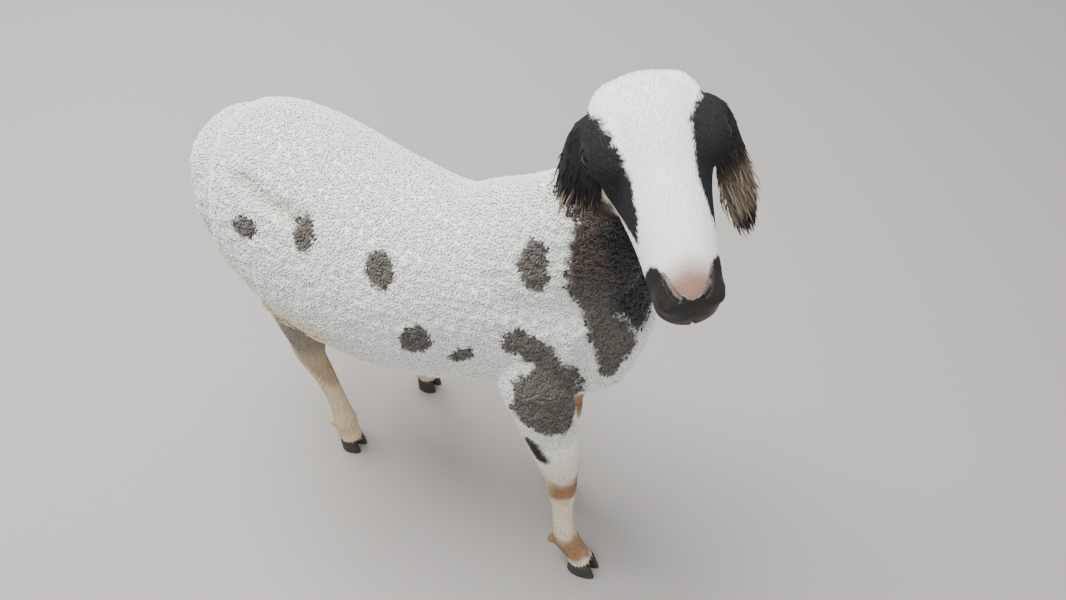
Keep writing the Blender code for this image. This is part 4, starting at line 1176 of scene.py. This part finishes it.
def scattered(surface, spacing, seed, wanted):
    """Roots at least a spacing apart where wanted: places, ways out and layout places."""
    corners, normals, flat = surface
    chosen = wanted(corners.mean(axis=1)) > 0
    corners, normals, flat = corners[chosen], normals[chosen], flat[chosen]
    first, second = corners[:, 1] - corners[:, 0], corners[:, 2] - corners[:, 0]
    areas = np.linalg.norm(np.cross(first, second), axis=1) / 2
    draw = np.random.default_rng(seed)
    count = int(TRIES * areas.sum() / spacing**2)
    faces = draw.choice(len(areas), count, p=areas / areas.sum())
    shares = draw.dirichlet((1, 1, 1), count)
    places = np.einsum("ij,ijk->ik", shares, corners[faces])
    cells = np.floor(places / spacing).astype(int).tolist()
    spots = places.tolist()
    taken, kept = {}, []
    around = [(a, b, c) for a in (-1, 0, 1) for b in (-1, 0, 1) for c in (-1, 0, 1)]
    for index, (cell, spot) in enumerate(zip(cells, spots)):
        i, j, k = cell
        if not any(
            (spot[0] - q[0]) ** 2 + (spot[1] - q[1]) ** 2 + (spot[2] - q[2]) ** 2 < spacing**2
            for a, b, c in around for q in taken.get((i + a, j + b, k + c), ())
        ):
            taken.setdefault((i, j, k), []).append(spot)
            kept.append(index)
    ways = np.einsum("ij,ijk->ik", shares, normals[faces])[kept]
    return places[kept], unit(ways), np.einsum("ij,ijk->ik", shares, flat[faces])[kept]


def unit(vectors):
    return vectors / np.maximum(np.linalg.norm(vectors, axis=-1, keepdims=True), 1e-9)


def laid(ways, flow):
    """The flow made to lie in the skin."""
    return unit(flow - ways * np.sum(ways * flow, axis=1, keepdims=True))


def lie_of_coat(points):
    """The way that hair lies: back along the body, down the legs and neck, and up from the nose."""
    local = in_frame(points, head_place)
    turned = np.array(head_place.to_3x3())
    face = turned @ np.array(FACE_LIE)
    outward = local[:, 1:2] * (turned @ np.array((0, 1.0, 0)))[None, :] * FACE_SPREAD
    head = (ramp(local[:, 2], *HEAD_LIE_FADE) * on_head(local))[:, None]
    body = np.tile(BODY_LIE, (len(points), 1))
    leg = ramp(LEG_LIE_TOP - points[:, 2], 0, LEG_LIE_FADE)[:, None]
    body = body * (1 - leg) + np.array(LEG_LIE) * leg
    return body * (1 - head) + (face + outward) * head


hide_surface = surface_of(skin)
print("skin triangles:", len(hide_surface[0]))

# %% [markdown]
# Every curl, hair and lock is the same kind of thing: a strand with three sides that follows a line,
# gets thinner and ends in a point. They are made by the thousand from arrays and joined in a few meshes.
# Each strand's patch of the layout is tiny and lies at its root, so it is painted as the skin under it.

# %% Strands from arrays
STRAND_SIDES, STRAND_ANGLES = 3, np.radians((90, 210, 330))
PATCH = 0.0026  # width of a strand's patch on the layout
MOST_TRIANGLES = 185000
coat_pieces = []


def strand_faces(steps):
    """Triangles of one strand with this many points along it, its root closed."""
    faces = [(2, 1, 0)]
    for step in range(steps - 2):
        for side in range(STRAND_SIDES):
            a, b = step * STRAND_SIDES + side, step * STRAND_SIDES + (side + 1) % STRAND_SIDES
            faces += [(a, b, b + STRAND_SIDES), (a, b + STRAND_SIDES, a + STRAND_SIDES)]
    last, tip = (steps - 2) * STRAND_SIDES, (steps - 1) * STRAND_SIDES
    faces += [(last + side, last + (side + 1) % STRAND_SIDES, tip) for side in range(STRAND_SIDES)]
    return np.array(faces)


def strand_points(lines, ups, wide, thick):
    """Corners of strands along lines, wide across and thick towards their ups."""
    along = unit(np.gradient(lines, axis=1))
    up = unit(ups - along * np.sum(ups * along, axis=2, keepdims=True))
    across = np.cross(up, along)
    rings = []
    for angle in STRAND_ANGLES:
        sideways = across * (wide * math.cos(angle))[..., None]
        rings.append(lines + sideways + up * (thick * math.sin(angle))[..., None])
    count, steps, _ = lines.shape
    rings = np.stack(rings, axis=2)[:, :-1].reshape(count, (steps - 1) * STRAND_SIDES, 3)
    return np.concatenate((rings, lines[:, -1:]), axis=1)


def strand_lines(places, *parts):
    """Lines from their roots: each part is a way, a length, and the shares of it at the steps."""
    lines = places[:, None]
    for way, length, shares in parts:
        lines = lines + way[:, None] * (length[:, None] * shares)[..., None]
    return lines


def grow(name, lines, ups, wide, thick, tones, flat, look):
    """Joined meshes of strands, split so that none has more than MOST_TRIANGLES triangles."""
    count, steps, _ = lines.shape
    template = strand_faces(steps)
    share = int(MOST_TRIANGLES / len(template))
    for number, start in enumerate(range(0, count, share)):
        part = slice(start, start + share)
        corners = strand_points(lines[part], ups[part], wide[part], thick[part])
        amount, each, _ = corners.shape
        faces = (template[None] + np.arange(amount)[:, None, None] * each).reshape(-1, 3)
        mesh = bpy.data.meshes.new(f"{name}_{number + 1}")
        mesh.vertices.add(amount * each)
        mesh.vertices.foreach_set("co", corners.ravel())
        mesh.loops.add(len(faces) * 3)
        mesh.loops.foreach_set("vertex_index", faces.ravel())
        mesh.polygons.add(len(faces))
        mesh.polygons.foreach_set("loop_start", np.arange(len(faces)) * 3)
        mesh.update(calc_edges=True)
        tone = np.repeat(tones[part], STRAND_SIDES, axis=1)[:, : each - 1]
        tone = np.concatenate((tone, tones[part][:, -1:]), axis=1)
        paint_points(mesh, tone.reshape(-1, 3))
        corner = np.arange(each)
        step_of = np.minimum(corner // STRAND_SIDES, steps - 1) / (steps - 1) - 0.5
        side_of = np.where(corner == each - 1, 0.0, corner % STRAND_SIDES / 2 - 0.5)
        patch = np.stack((side_of, step_of), axis=1) * PATCH
        places = (flat[part][:, None] + patch[None]).reshape(-1, 2)
        mesh.uv_layers.new(name=BAKE_MAP).data.foreach_set("uv", places[faces.ravel()].ravel())
        mesh.shade_smooth()
        mesh.materials.append(look.material)
        made = bpy.data.objects.new(mesh.name, mesh)
        bpy.context.scene.collection.objects.link(made)
        coat_pieces.append(made)
    print(name, count, "strands,", count * len(template), "triangles")


print("one strand of 6 points has", len(strand_faces(6)), "triangles")

# %% [markdown]
# The wool of this young coat is a dense plush of small flat locks. A lock rises a little from the skin,
# lies over its neighbours and ends in a lower tip. They stand so close that only their backs show.
# Groups of them, about a centimetre wide, lean together, and seeded chance makes each one different.
# Where the coat is grizzled, some are grey and some are black.

# %% Locks of the wool
LOCK_SPACING, LOCK_SEED = 0.0020, 20
LOCK_HEIGHT, LOCK_REACH, LOCK_HOOK, LOCK_WIDTH = 0.0016, 0.0036, 0.0006, 0.00155
LOCK_STEPS = np.array((  # shares of the height, the reach, the sideways hook and the thickness
    (-0.20, 0.00, 0.0, 0.90),
    (0.80, 0.25, 0.5, 1.15),
    (1.00, 0.75, 1.0, 1.00),
    (0.45, 1.25, -0.2, 0.10),
))
LOCK_FLATNESS = 0.38
LOCK_GROUPS, LOCK_COMBED, LOCK_LOOSE = 0.010, 0.8, 0.25
LEAST_WOOL = 0.04
GREY_FIBRE, BLACK_FIBRE = np.array((0.36, 0.34, 0.31)), np.array((0.022, 0.020, 0.020))
GREY_BELOW, BLACK_ABOVE = 0.22, 0.72  # bounds of a draw from 0 to 1


def locks(seed):
    """Grows the fleece: lower, shorter and narrower locks where the wool fades out."""
    places, ways, flat = scattered(hide_surface, LOCK_SPACING, seed, lambda p: wool_share(p) - LEAST_WOOL)
    draw = np.random.default_rng(seed + 1)
    share = wool_share(places)
    count = len(places)
    height = LOCK_HEIGHT * draw.uniform(0.88, 1.06, count) * (0.22 + 0.78 * share)
    reach = LOCK_REACH * draw.uniform(0.75, 1.25, count) * (0.6 + 0.4 * share)
    hook = LOCK_HOOK * draw.normal(size=count)
    groups = np.stack([ripple(places, LOCK_GROUPS, seed + axis) for axis in range(3)], axis=1)
    loose = draw.normal(size=(count, 3)) * LOCK_LOOSE
    ahead = laid(ways, lie_of_coat(places) * LOCK_COMBED + groups + loose)
    rises, reaches, hooks, widths = LOCK_STEPS.T
    lines = strand_lines(
        places, (ways, height, rises), (ahead, reach, reaches), (np.cross(ways, ahead), hook, hooks)
    )
    wide = LOCK_WIDTH * (0.55 + 0.45 * share)[:, None] * widths * draw.uniform(0.85, 1.2, count)[:, None]
    tones, dark = coat_colours(places)
    grizzled = (dark > 0.2) & (dark < 0.98) & (tones.mean(axis=1) < 0.5)
    mix = draw.random(count)
    tones = np.where((grizzled & (mix < GREY_BELOW))[:, None], GREY_FIBRE, tones)
    tones = np.where((grizzled & (mix > BLACK_ABOVE))[:, None], BLACK_FIBRE, tones)
    # Beside a small random tone, painted light and shade: locks on the raised knobs are a little lighter
    # and those in the knobs' hollows a little darker.
    knobs = np.clip(ripple(places, KNOBS, KNOB_SEED), -1, 1)
    tones = tones * (draw.uniform(0.97, 1.03, count) * (1 + 0.03 * knobs))[:, None]
    # Painted shade: each lock is a little darker low down by its root than at its top.
    tones = tones[:, None] * (0.95 + 0.05 * np.clip(rises, 0, 1))[None, :, None]
    ups = np.repeat(ways[:, None], len(LOCK_STEPS), axis=1)
    grow("curls", lines, ups, wide, wide * LOCK_FLATNESS, tones, flat, curls_look)


locks(LOCK_SEED)

# %% [markdown]
# The face and legs have short straight hair that lies flat. Most of it is in the skin's own bump, and
# small flat tufts lie over that, which feather the edges of the markings and break up the outline. They
# are finest on the face.

# %% Short hair
HAIR_SPACING = {"face": 0.0021, "legs": 0.0025}
HAIR_LENGTH, HAIR_WIDTH, HAIR_RISE = 0.0066, 0.00052, 0.00022
HAIR_STEPS = np.array((  # shares of the length, the rise and the width
    (0.00, -0.6, 0.7),
    (0.45, 1.0, 1.0),
    (1.00, 0.9, 0.3),
))
HAIR_FLATNESS, HAIR_LOOSE = 0.35, 0.18
FINER, FINER_AHEAD = 0.45, (0.05, 0.13)  # how much smaller the hair gets towards the nose
LEG_HAIR_SIZE = 1.2
MOST_WOOL, LID_EDGE = 0.75, 0.0168  # short hair ends where wool is fuller, and round the eye
LEAST_HEIGHT = 0.032  # above the floor, where the claws begin
HAIR_SEEDS = {"face": 40, "legs": 45}


def short_hair(where):
    """Grows the short hair of the face or of the legs."""
    def wanted(points):
        in_place = on_head(in_frame(points, head_place)) == (where == "face")
        bald = bare_skin(points) > 0.5
        for side in (-1, 1):
            bald |= np.linalg.norm(points - eye_frame(side)[0], axis=1) < LID_EDGE
        return (wool_share(points) < MOST_WOOL) & ~bald & (points[:, 2] > LEAST_HEIGHT) & in_place

    seed = HAIR_SEEDS[where]
    places, ways, flat = scattered(hide_surface, HAIR_SPACING[where], seed, wanted)
    draw = np.random.default_rng(seed + 1)
    count = len(places)
    small = np.full(count, LEG_HAIR_SIZE)
    if where == "face":
        small = 1 - FINER * ramp(in_frame(places, head_place)[:, 0], *FINER_AHEAD)
    flow = laid(ways, lie_of_coat(places) + draw.normal(size=(count, 3)) * HAIR_LOOSE)
    length = HAIR_LENGTH * small * draw.uniform(0.75, 1.25, count)
    rise = HAIR_RISE * small * draw.uniform(0.4, 1.5, count)
    alongs, rises, widths = HAIR_STEPS.T
    lines = strand_lines(places, (flow, length, alongs), (ways, rise, rises))
    wide = HAIR_WIDTH * small[:, None] * widths * draw.uniform(0.8, 1.2, count)[:, None]
    tones = coat_colours(places)[0] * draw.uniform(0.97, 1.02, count)[:, None]
    tones, ups = (np.repeat(rows[:, None], len(HAIR_STEPS), axis=1) for rows in (tones, ways))
    name = "short_hair" if where == "face" else "leg_hair"
    grow(name, lines, ups, wide, wide * HAIR_FLATNESS, tones, flat, hairs_look)


short_hair("face")
short_hair("legs")

# %% [markdown]
# The ears hang as leaves, with a narrow stalk and the hollow side to the cheek. A leaf is a flat tube
# whose edges are bent in. It has the colours of the hair that hides it.

# %% Ear leaves
EAR = (  # in the head's frame, for the left one: centre line, half width and thickness
    (-0.046, 0.046, -0.010, 0.012, 0.010),
    (-0.036, 0.065, -0.012, 0.016, 0.009),
    (-0.022, 0.076, -0.028, 0.024, 0.007),
    (-0.010, 0.084, -0.056, 0.029, 0.006),
    (0.002, 0.090, -0.086, 0.027, 0.006),
    (0.010, 0.095, -0.112, 0.018, 0.005),
    (0.014, 0.098, -0.130, 0.007, 0.004),
)
EAR_TURN, EAR_CUP, EAR_SIDES, EAR_THINNER = math.radians(32), 0.34, 16, 0.45
EAR_SWING, EAR_INWARD = {-1: -0.012, 1: 0.014}, {-1: 0.005, 1: 0.0}  # metres, for the right and the left
EAR_MARGIN = 0.01
EAR_LENGTH = 0.120  # down the leaf, in metres
BROWN_BLACK, EAR_TIP = (0.030, 0.019, 0.014), (0.022, 0.018, 0.016)
EAR_BROWN, EAR_FAWN = (0.10, 0.068, 0.045), (0.22, 0.175, 0.125)
EAR_TONES = {  # share down the ear, past 1 where the hair hangs lower, and colour, on each side
    -1: (
        (0.0, BLACK), (0.54, BLACK), (0.64, BROWN_BLACK), (0.72, EAR_BROWN),
        (0.88, EAR_BROWN), (0.98, EAR_TIP),
    ),
    1: (
        (0.0, BLACK), (0.42, BLACK), (0.52, BROWN_BLACK), (0.60, EAR_BROWN),
        (0.68, EAR_FAWN), (0.82, EAR_FAWN), (0.93, EAR_TIP),
    ),
}


def ear_line(side):
    """The ear's centre line with half widths and thickness, and the way its width points."""
    stations = []
    for x, y, z, width, thick in smooth_path(EAR, 3):
        swing = EAR_SWING[side] * z / EAR[-1][2]
        centre = head_place @ Vector((x + swing, side * (y - EAR_INWARD[side]), z))
        stations.append((centre, width * HEAD_SCALE, thick * EAR_THINNER * HEAD_SCALE))
    turned = head_place.to_3x3()
    return stations, (turned @ Vector((math.cos(EAR_TURN), -side * math.sin(EAR_TURN), 0))).normalized()


def ear_leaf(side):
    """One ear's leaf, cupped towards the cheek."""
    stations, across = ear_line(side)
    leaf = tube(stations, across, EAR_SIDES)
    out = np.array((head_place.to_3x3() @ Vector((0, side, 0))).normalized())
    points = points_of(leaf.data)
    for index, (centre, width, _) in enumerate(stations):
        ring = slice(index * EAR_SIDES, (index + 1) * EAR_SIDES)
        t = (points[ring] - np.array(centre)) @ np.array(across) / width
        points[ring] -= out * (EAR_CUP * width * t * t)[:, None]
    place_points(leaf.data, points)
    apply_modifier(leaf, "SUBSURF", levels=1, render_levels=1)
    leaf.name = leaf.data.name = "ear_left" if side > 0 else "ear_right"
    bpy.ops.object.mode_set(mode="EDIT")
    end_with_faces_out()
    lay_flat(leaf, EAR_MARGIN)
    leaf.data.shade_smooth()
    leaf.data.materials.clear()
    leaf.data.materials.append(hide.material)
    return leaf


def down_ear(points, side):
    """How far down the ear points are, 0 at the stalk and 1 at the leaf's tip, and the way down there."""
    line = np.array([centre for centre, _, _ in ear_line(side)[0]])
    nearest = np.argmin(np.linalg.norm(points[:, None] - line[None], axis=2), axis=1)
    ways = unit(np.gradient(line, axis=0))
    return nearest / (len(line) - 1), ways[nearest]


def ear_tone(share, side):
    """Colours at shares of the way down one ear."""
    places, colours = zip(*EAR_TONES[side])
    return np.column_stack([np.interp(share, places, channel) for channel in zip(*colours)])


leaves = {}
for side in (-1, 1):
    leaves[side] = ear_leaf(side)
    shape = points_of(leaves[side].data)
    paint_points(leaves[side].data, ear_tone(down_ear(shape, side)[0], side))
    keep_value(leaves[side].data, "bare", np.zeros(len(shape)))
print("ear leaves:", [len(leaf.data.polygons) for leaf in leaves.values()], "faces")

# %% [markdown]
# Long hair hides the leaves: fine tapered locks grow down them and fall below their tips. They are dark
# at the top, brown and cream below, and dark again at the ends, and they wave in small bundles.

# %% Long hair of the ears
EAR_HAIR_SPACING, EAR_HAIR_STEPS, EAR_HAIR_SEED = 0.0023, 6, 60
EAR_HAIR_LONG, EAR_HAIR_SHORT, EAR_HAIR_WIDTH = 0.037, 0.009, 0.00165
EAR_HAIR_FLATNESS, EAR_HAIR_SINK = 0.4, 0.0006
EAR_HAIR_DROP, EAR_HAIR_CLING, EAR_HAIR_WAVE = 0.16, 0.05, 0.20  # what each step adds to the way
EAR_HAIR_BUNDLES, EAR_HAIR_TURNS = 0.012, 6
EAR_BEND = {-1: 0.03, 1: 0.16}  # how much the hair of each side turns away from the head
EAR_CREAM, CREAM_SHARE = (0.27, 0.225, 0.165), 0.38


def ear_hair(side):
    """Grows the hair of one ear: short at the stalk, long lower down and a little shorter at the tip."""
    seed = EAR_HAIR_SEED + side
    surface = surface_of(leaves[side])
    places, ways, flat = scattered(surface, EAR_HAIR_SPACING, seed, lambda p: np.ones(len(p)))
    draw = np.random.default_rng(seed + 1)
    count = len(places)
    share, down = down_ear(places, side)
    long_share = ramp(share, 0.30, 0.62)
    length = EAR_HAIR_SHORT + (EAR_HAIR_LONG - EAR_HAIR_SHORT) * long_share
    length = length * draw.uniform(0.65, 1.15, count)
    length *= 1 - 0.35 * ramp(share, 0.75, 1.0)
    lifted = laid(ways, down) + ways * draw.uniform(0.06, 0.26, count)[:, None]
    heading = unit(lifted + draw.normal(size=(count, 3)) * 0.10)
    bundles = np.stack([ripple(places, EAR_HAIR_BUNDLES, seed + axis) for axis in range(3)], axis=1)
    wave = laid(heading, bundles + 0.3 * draw.normal(size=(count, 3)))
    bend = np.array(head_place.to_3x3() @ Vector((0, side, 0))) * EAR_BEND[side]
    lines = [places - ways * EAR_HAIR_SINK]
    for step in range(1, EAR_HAIR_STEPS):
        t = step / (EAR_HAIR_STEPS - 1)
        waved = wave * (EAR_HAIR_WAVE * math.sin(EAR_HAIR_TURNS * t))
        fallen = heading + np.array((0, 0, -EAR_HAIR_DROP)) - ways * EAR_HAIR_CLING
        heading = unit(fallen + waved + bend * t)
        lines.append(lines[-1] + heading * (length / (EAR_HAIR_STEPS - 1))[:, None])
    lines = np.stack(lines, axis=1)
    t = np.linspace(0, 1, EAR_HAIR_STEPS)[None, :]
    wide = EAR_HAIR_WIDTH * draw.uniform(0.6, 1.25, count)[:, None] * (1 - t) ** 0.6
    wide = wide * (0.6 + 0.4 * long_share)[:, None]
    hung = share[:, None] + 0.8 * t * length[:, None] / EAR_LENGTH + draw.normal(size=count)[:, None] * 0.03
    tones = ear_tone(hung.ravel(), side).reshape(count, EAR_HAIR_STEPS, 3)
    creamy = (draw.random(count) < CREAM_SHARE)[:, None] * ramp(hung, 0.56, 0.68)
    creamy = (creamy * ramp(0.90 - hung, 0, 0.10))[..., None]
    tones = tones * (1 - creamy) + np.array(EAR_CREAM) * creamy
    tones = tones * draw.uniform(0.82, 1.12, count)[:, None, None]
    ups = np.repeat(ways[:, None], EAR_HAIR_STEPS, axis=1)
    name = "ear_hair_left" if side > 0 else "ear_hair_right"
    grow(name, lines, ups, wide, wide * EAR_HAIR_FLATNESS, tones, flat, hairs_look)


for side in (-1, 1):
    ear_hair(side)

# %% [markdown]
# A sheep's eye is brown with a level, slot-shaped pupil, wet and clear in front. The ball is a sphere
# with its pole turned out of the socket, raised a little over the iris, and each point keeps its place
# across the eye for the material.

# %% Eyes
IRIS_RADIUS, CORNEA_RISE, CORNEA_FADE = 0.0082, 0.0007, (-0.001, 0.006)
PUPIL_LENGTH, PUPIL_HEIGHT, PUPIL_EDGE = 0.0050, 0.0026, (0.90, 1.08)
IRIS_TONES = (
    (0.25, (0.008, 0.004, 0.002, 1)), (0.55, (0.022, 0.011, 0.006, 1)), (0.80, (0.045, 0.024, 0.012, 1)),
)
RAYS_ROUND, RAYS_OUT, RIM_START = 2.2, 160, 0.80
IRIS_RIM, PUPIL_BLACK = (0.010, 0.006, 0.004, 1), (0.002, 0.002, 0.002, 1)
eyes = {}
for side, name in ((-1, "eyeball_right"), (1, "eyeball_left")):
    centre, ahead, up, out = eye_frame(side)
    turn = Matrix((ahead, np.cross(out, ahead), out)).transposed()
    at_rest()
    bpy.ops.mesh.primitive_uv_sphere_add(
        segments=40, ring_count=28, radius=EYE_RADIUS, location=centre, rotation=turn.to_euler()
    )
    eye = bpy.context.object
    eye.name = eye.data.name = name
    bpy.ops.object.transform_apply(location=True, rotation=True, scale=True)
    points = points_of(eye.data)
    rel = points - centre
    a, b, c = rel @ ahead, rel @ up, rel @ out
    off = np.sqrt(a * a + b * b)
    rise = CORNEA_RISE * ramp(IRIS_RADIUS - off, *CORNEA_FADE) * (c > 0)
    place_points(eye.data, points + out * rise[:, None])
    keep_value(eye.data, "ahead", a)
    keep_value(eye.data, "above", b)
    eye.data.shade_smooth()
    eyes[name] = eye

wet = Look("wet_eye", Roughness=0.16, Specular_IOR_Level=0.2, Coat_Weight=0.15, Coat_Roughness=0.05)
across, above = wet.value_of("ahead"), wet.value_of("above")
around = across.sum_with("ARCTAN2", above, across)
off_centre = (across * across + above * above) ** 0.5
ray_place = wet.add("ShaderNodeCombineXYZ", sockets={0: around * RAYS_ROUND, 1: off_centre * RAYS_OUT})
ray_sockets = {"Vector": ray_place, "Scale": 3.0, "Detail": 3.0}
rays = wet.add("ShaderNodeTexNoise", {"noise_dimensions": "2D"}, ray_sockets)
slot = ((across / PUPIL_LENGTH) ** 2 + (above / PUPIL_HEIGHT) ** 2) ** 0.5
pupil = wet.eased(slot, *PUPIL_EDGE, 1.0, 0.0)
rim = wet.eased(off_centre, IRIS_RADIUS * RIM_START, IRIS_RADIUS, 0.0, 1.0)
ringed = wet.mixed(rim, wet.toned(rays, IRIS_TONES), IRIS_RIM)
wet.feeds(Base_Color=wet.mixed(pupil, ringed, PUPIL_BLACK))
for eye in eyes.values():
    eye.data.materials.append(wet.material)
print("eyes:", list(eyes))

# %% [markdown]
# Each foot ends in two claws of black horn, flat below and narrow at the toe, with a flatter wall on the
# inner side. One pair is laid up in hoops from the sole to the coronet, for each foot in its own length.

# %% Claws
CLAW = (  # height, half length, half width, how far ahead of the foot
    (0.0000, 0.0240, 0.0098, 0.0060),
    (0.0060, 0.0236, 0.0100, 0.0052),
    (0.0120, 0.0225, 0.0100, 0.0040),
    (0.0180, 0.0212, 0.0098, 0.0026),
    (0.0250, 0.0198, 0.0095, 0.0010),
    (0.0307, 0.0186, 0.0092, 0.0000),
)
CLAW_SIDES, CLAW_APART = 24, 0.0087
STRETCH = {"front": 0.93, "hind": 0.68}
TOE_NARROWER, INNER_WALL = 0.30, 0.75
SOLE_TOP, SOLE_BEVEL = 0.001, 0.0012
HORN_TONES = (
    (0.35, (0.010, 0.009, 0.008, 1)), (0.62, (0.028, 0.024, 0.021, 1)), (0.80, (0.085, 0.072, 0.060, 1)),
)

horn = Look("claw_horn", Roughness=0.45)
rings = horn.add("ShaderNodeTexWave", {"wave_type": "BANDS", "bands_direction": "Z"}, {
    "Vector": horn.spots(), "Scale": 75.0, "Distortion": 2.5, "Detail": 2.0, "Detail Scale": 2.0,
})
scuffs = horn.noise(160, 4)
horn.feeds(
    Base_Color=horn.toned(scuffs, HORN_TONES),
    Roughness=0.38 + scuffs * 0.3,
    Normal=horn.bump(rings * 0.6 + scuffs * 0.4, 0.0006),
)


def claw_at(middle, side, stretch):
    """One claw over a place on the floor, level in its hoops and with a rounded sole."""
    hoops = [(middle + Vector((ahead * stretch, 0, height)), width, length * stretch)
             for height, length, width, ahead in CLAW]
    claw = tube(hoops, LEFT, CLAW_SIDES)
    points = points_of(claw.data)
    for index, (height, length, _, ahead) in enumerate(CLAW):
        ring = slice(index * CLAW_SIDES, (index + 1) * CLAW_SIDES)
        toe_share = (points[ring, 0] - middle.x - ahead * stretch) / (length * stretch)
        aside = points[ring, 1] - middle.y
        inner = np.where(aside * side < 0, INNER_WALL, 1.0)
        points[ring, 1] = middle.y + aside * (1 - TOE_NARROWER * toe_share) * inner
        points[ring, 2] = height
    place_points(claw.data, points)
    make_active(claw)
    bpy.ops.object.mode_set(mode="EDIT")
    pick(bmesh.from_edit_mesh(claw.data), lambda vert: vert.co.z < SOLE_TOP)
    bpy.ops.mesh.bevel(offset=SOLE_BEVEL, segments=2)
    bpy.ops.object.mode_set(mode="OBJECT")
    claw.data.shade_smooth()
    claw.data.materials.append(horn.material)
    return claw


claws = {}
for leg, (foot_x, foot_y) in FEET.items():
    for side, which in ((-1, "right"), (1, "left")):
        middle = Vector((foot_x, foot_y + side * CLAW_APART, 0)) - MIDDLE
        claw = claw_at(middle, side, STRETCH[leg.split("_")[0]])
        claw.name = claw.data.name = f"hoof_{leg}_{which}"
        claws[f"claw_{leg}_{which}"] = claw
print("claws:", len(claws))

# %% [markdown]
# Last, the solid nodes that the dressing covers are hidden, and every piece is tied to the animal's one
# body. The coat may not make the animal bigger.

# %% Tied to the frame
SLOT_OF = {  # the first words of a coat piece's name, and its finish
    "curls": "fleece", "ear_hair": "dark_hair", "leg_hair": "leg_hair", "short_hair": "short_hair",
}

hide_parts("head", "neck", "torso", "tail", *("leg_" + leg for leg in FEET))
for side, which in ((-1, "right"), (1, "left")):
    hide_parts("ear_" + which)
    leaves[side].name = leaves[side].data.name = "ear_leaf_" + which
    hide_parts("eye_" + which)
for node, claw in claws.items():
    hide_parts(node)
for piece in coat_pieces:
    slot = next(slot for kind, slot in SLOT_OF.items() if piece.name.startswith(kind))
for piece in (skin, *leaves.values(), *eyes.values(), *claws.values(), *coat_pieces):
    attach(piece, "root")
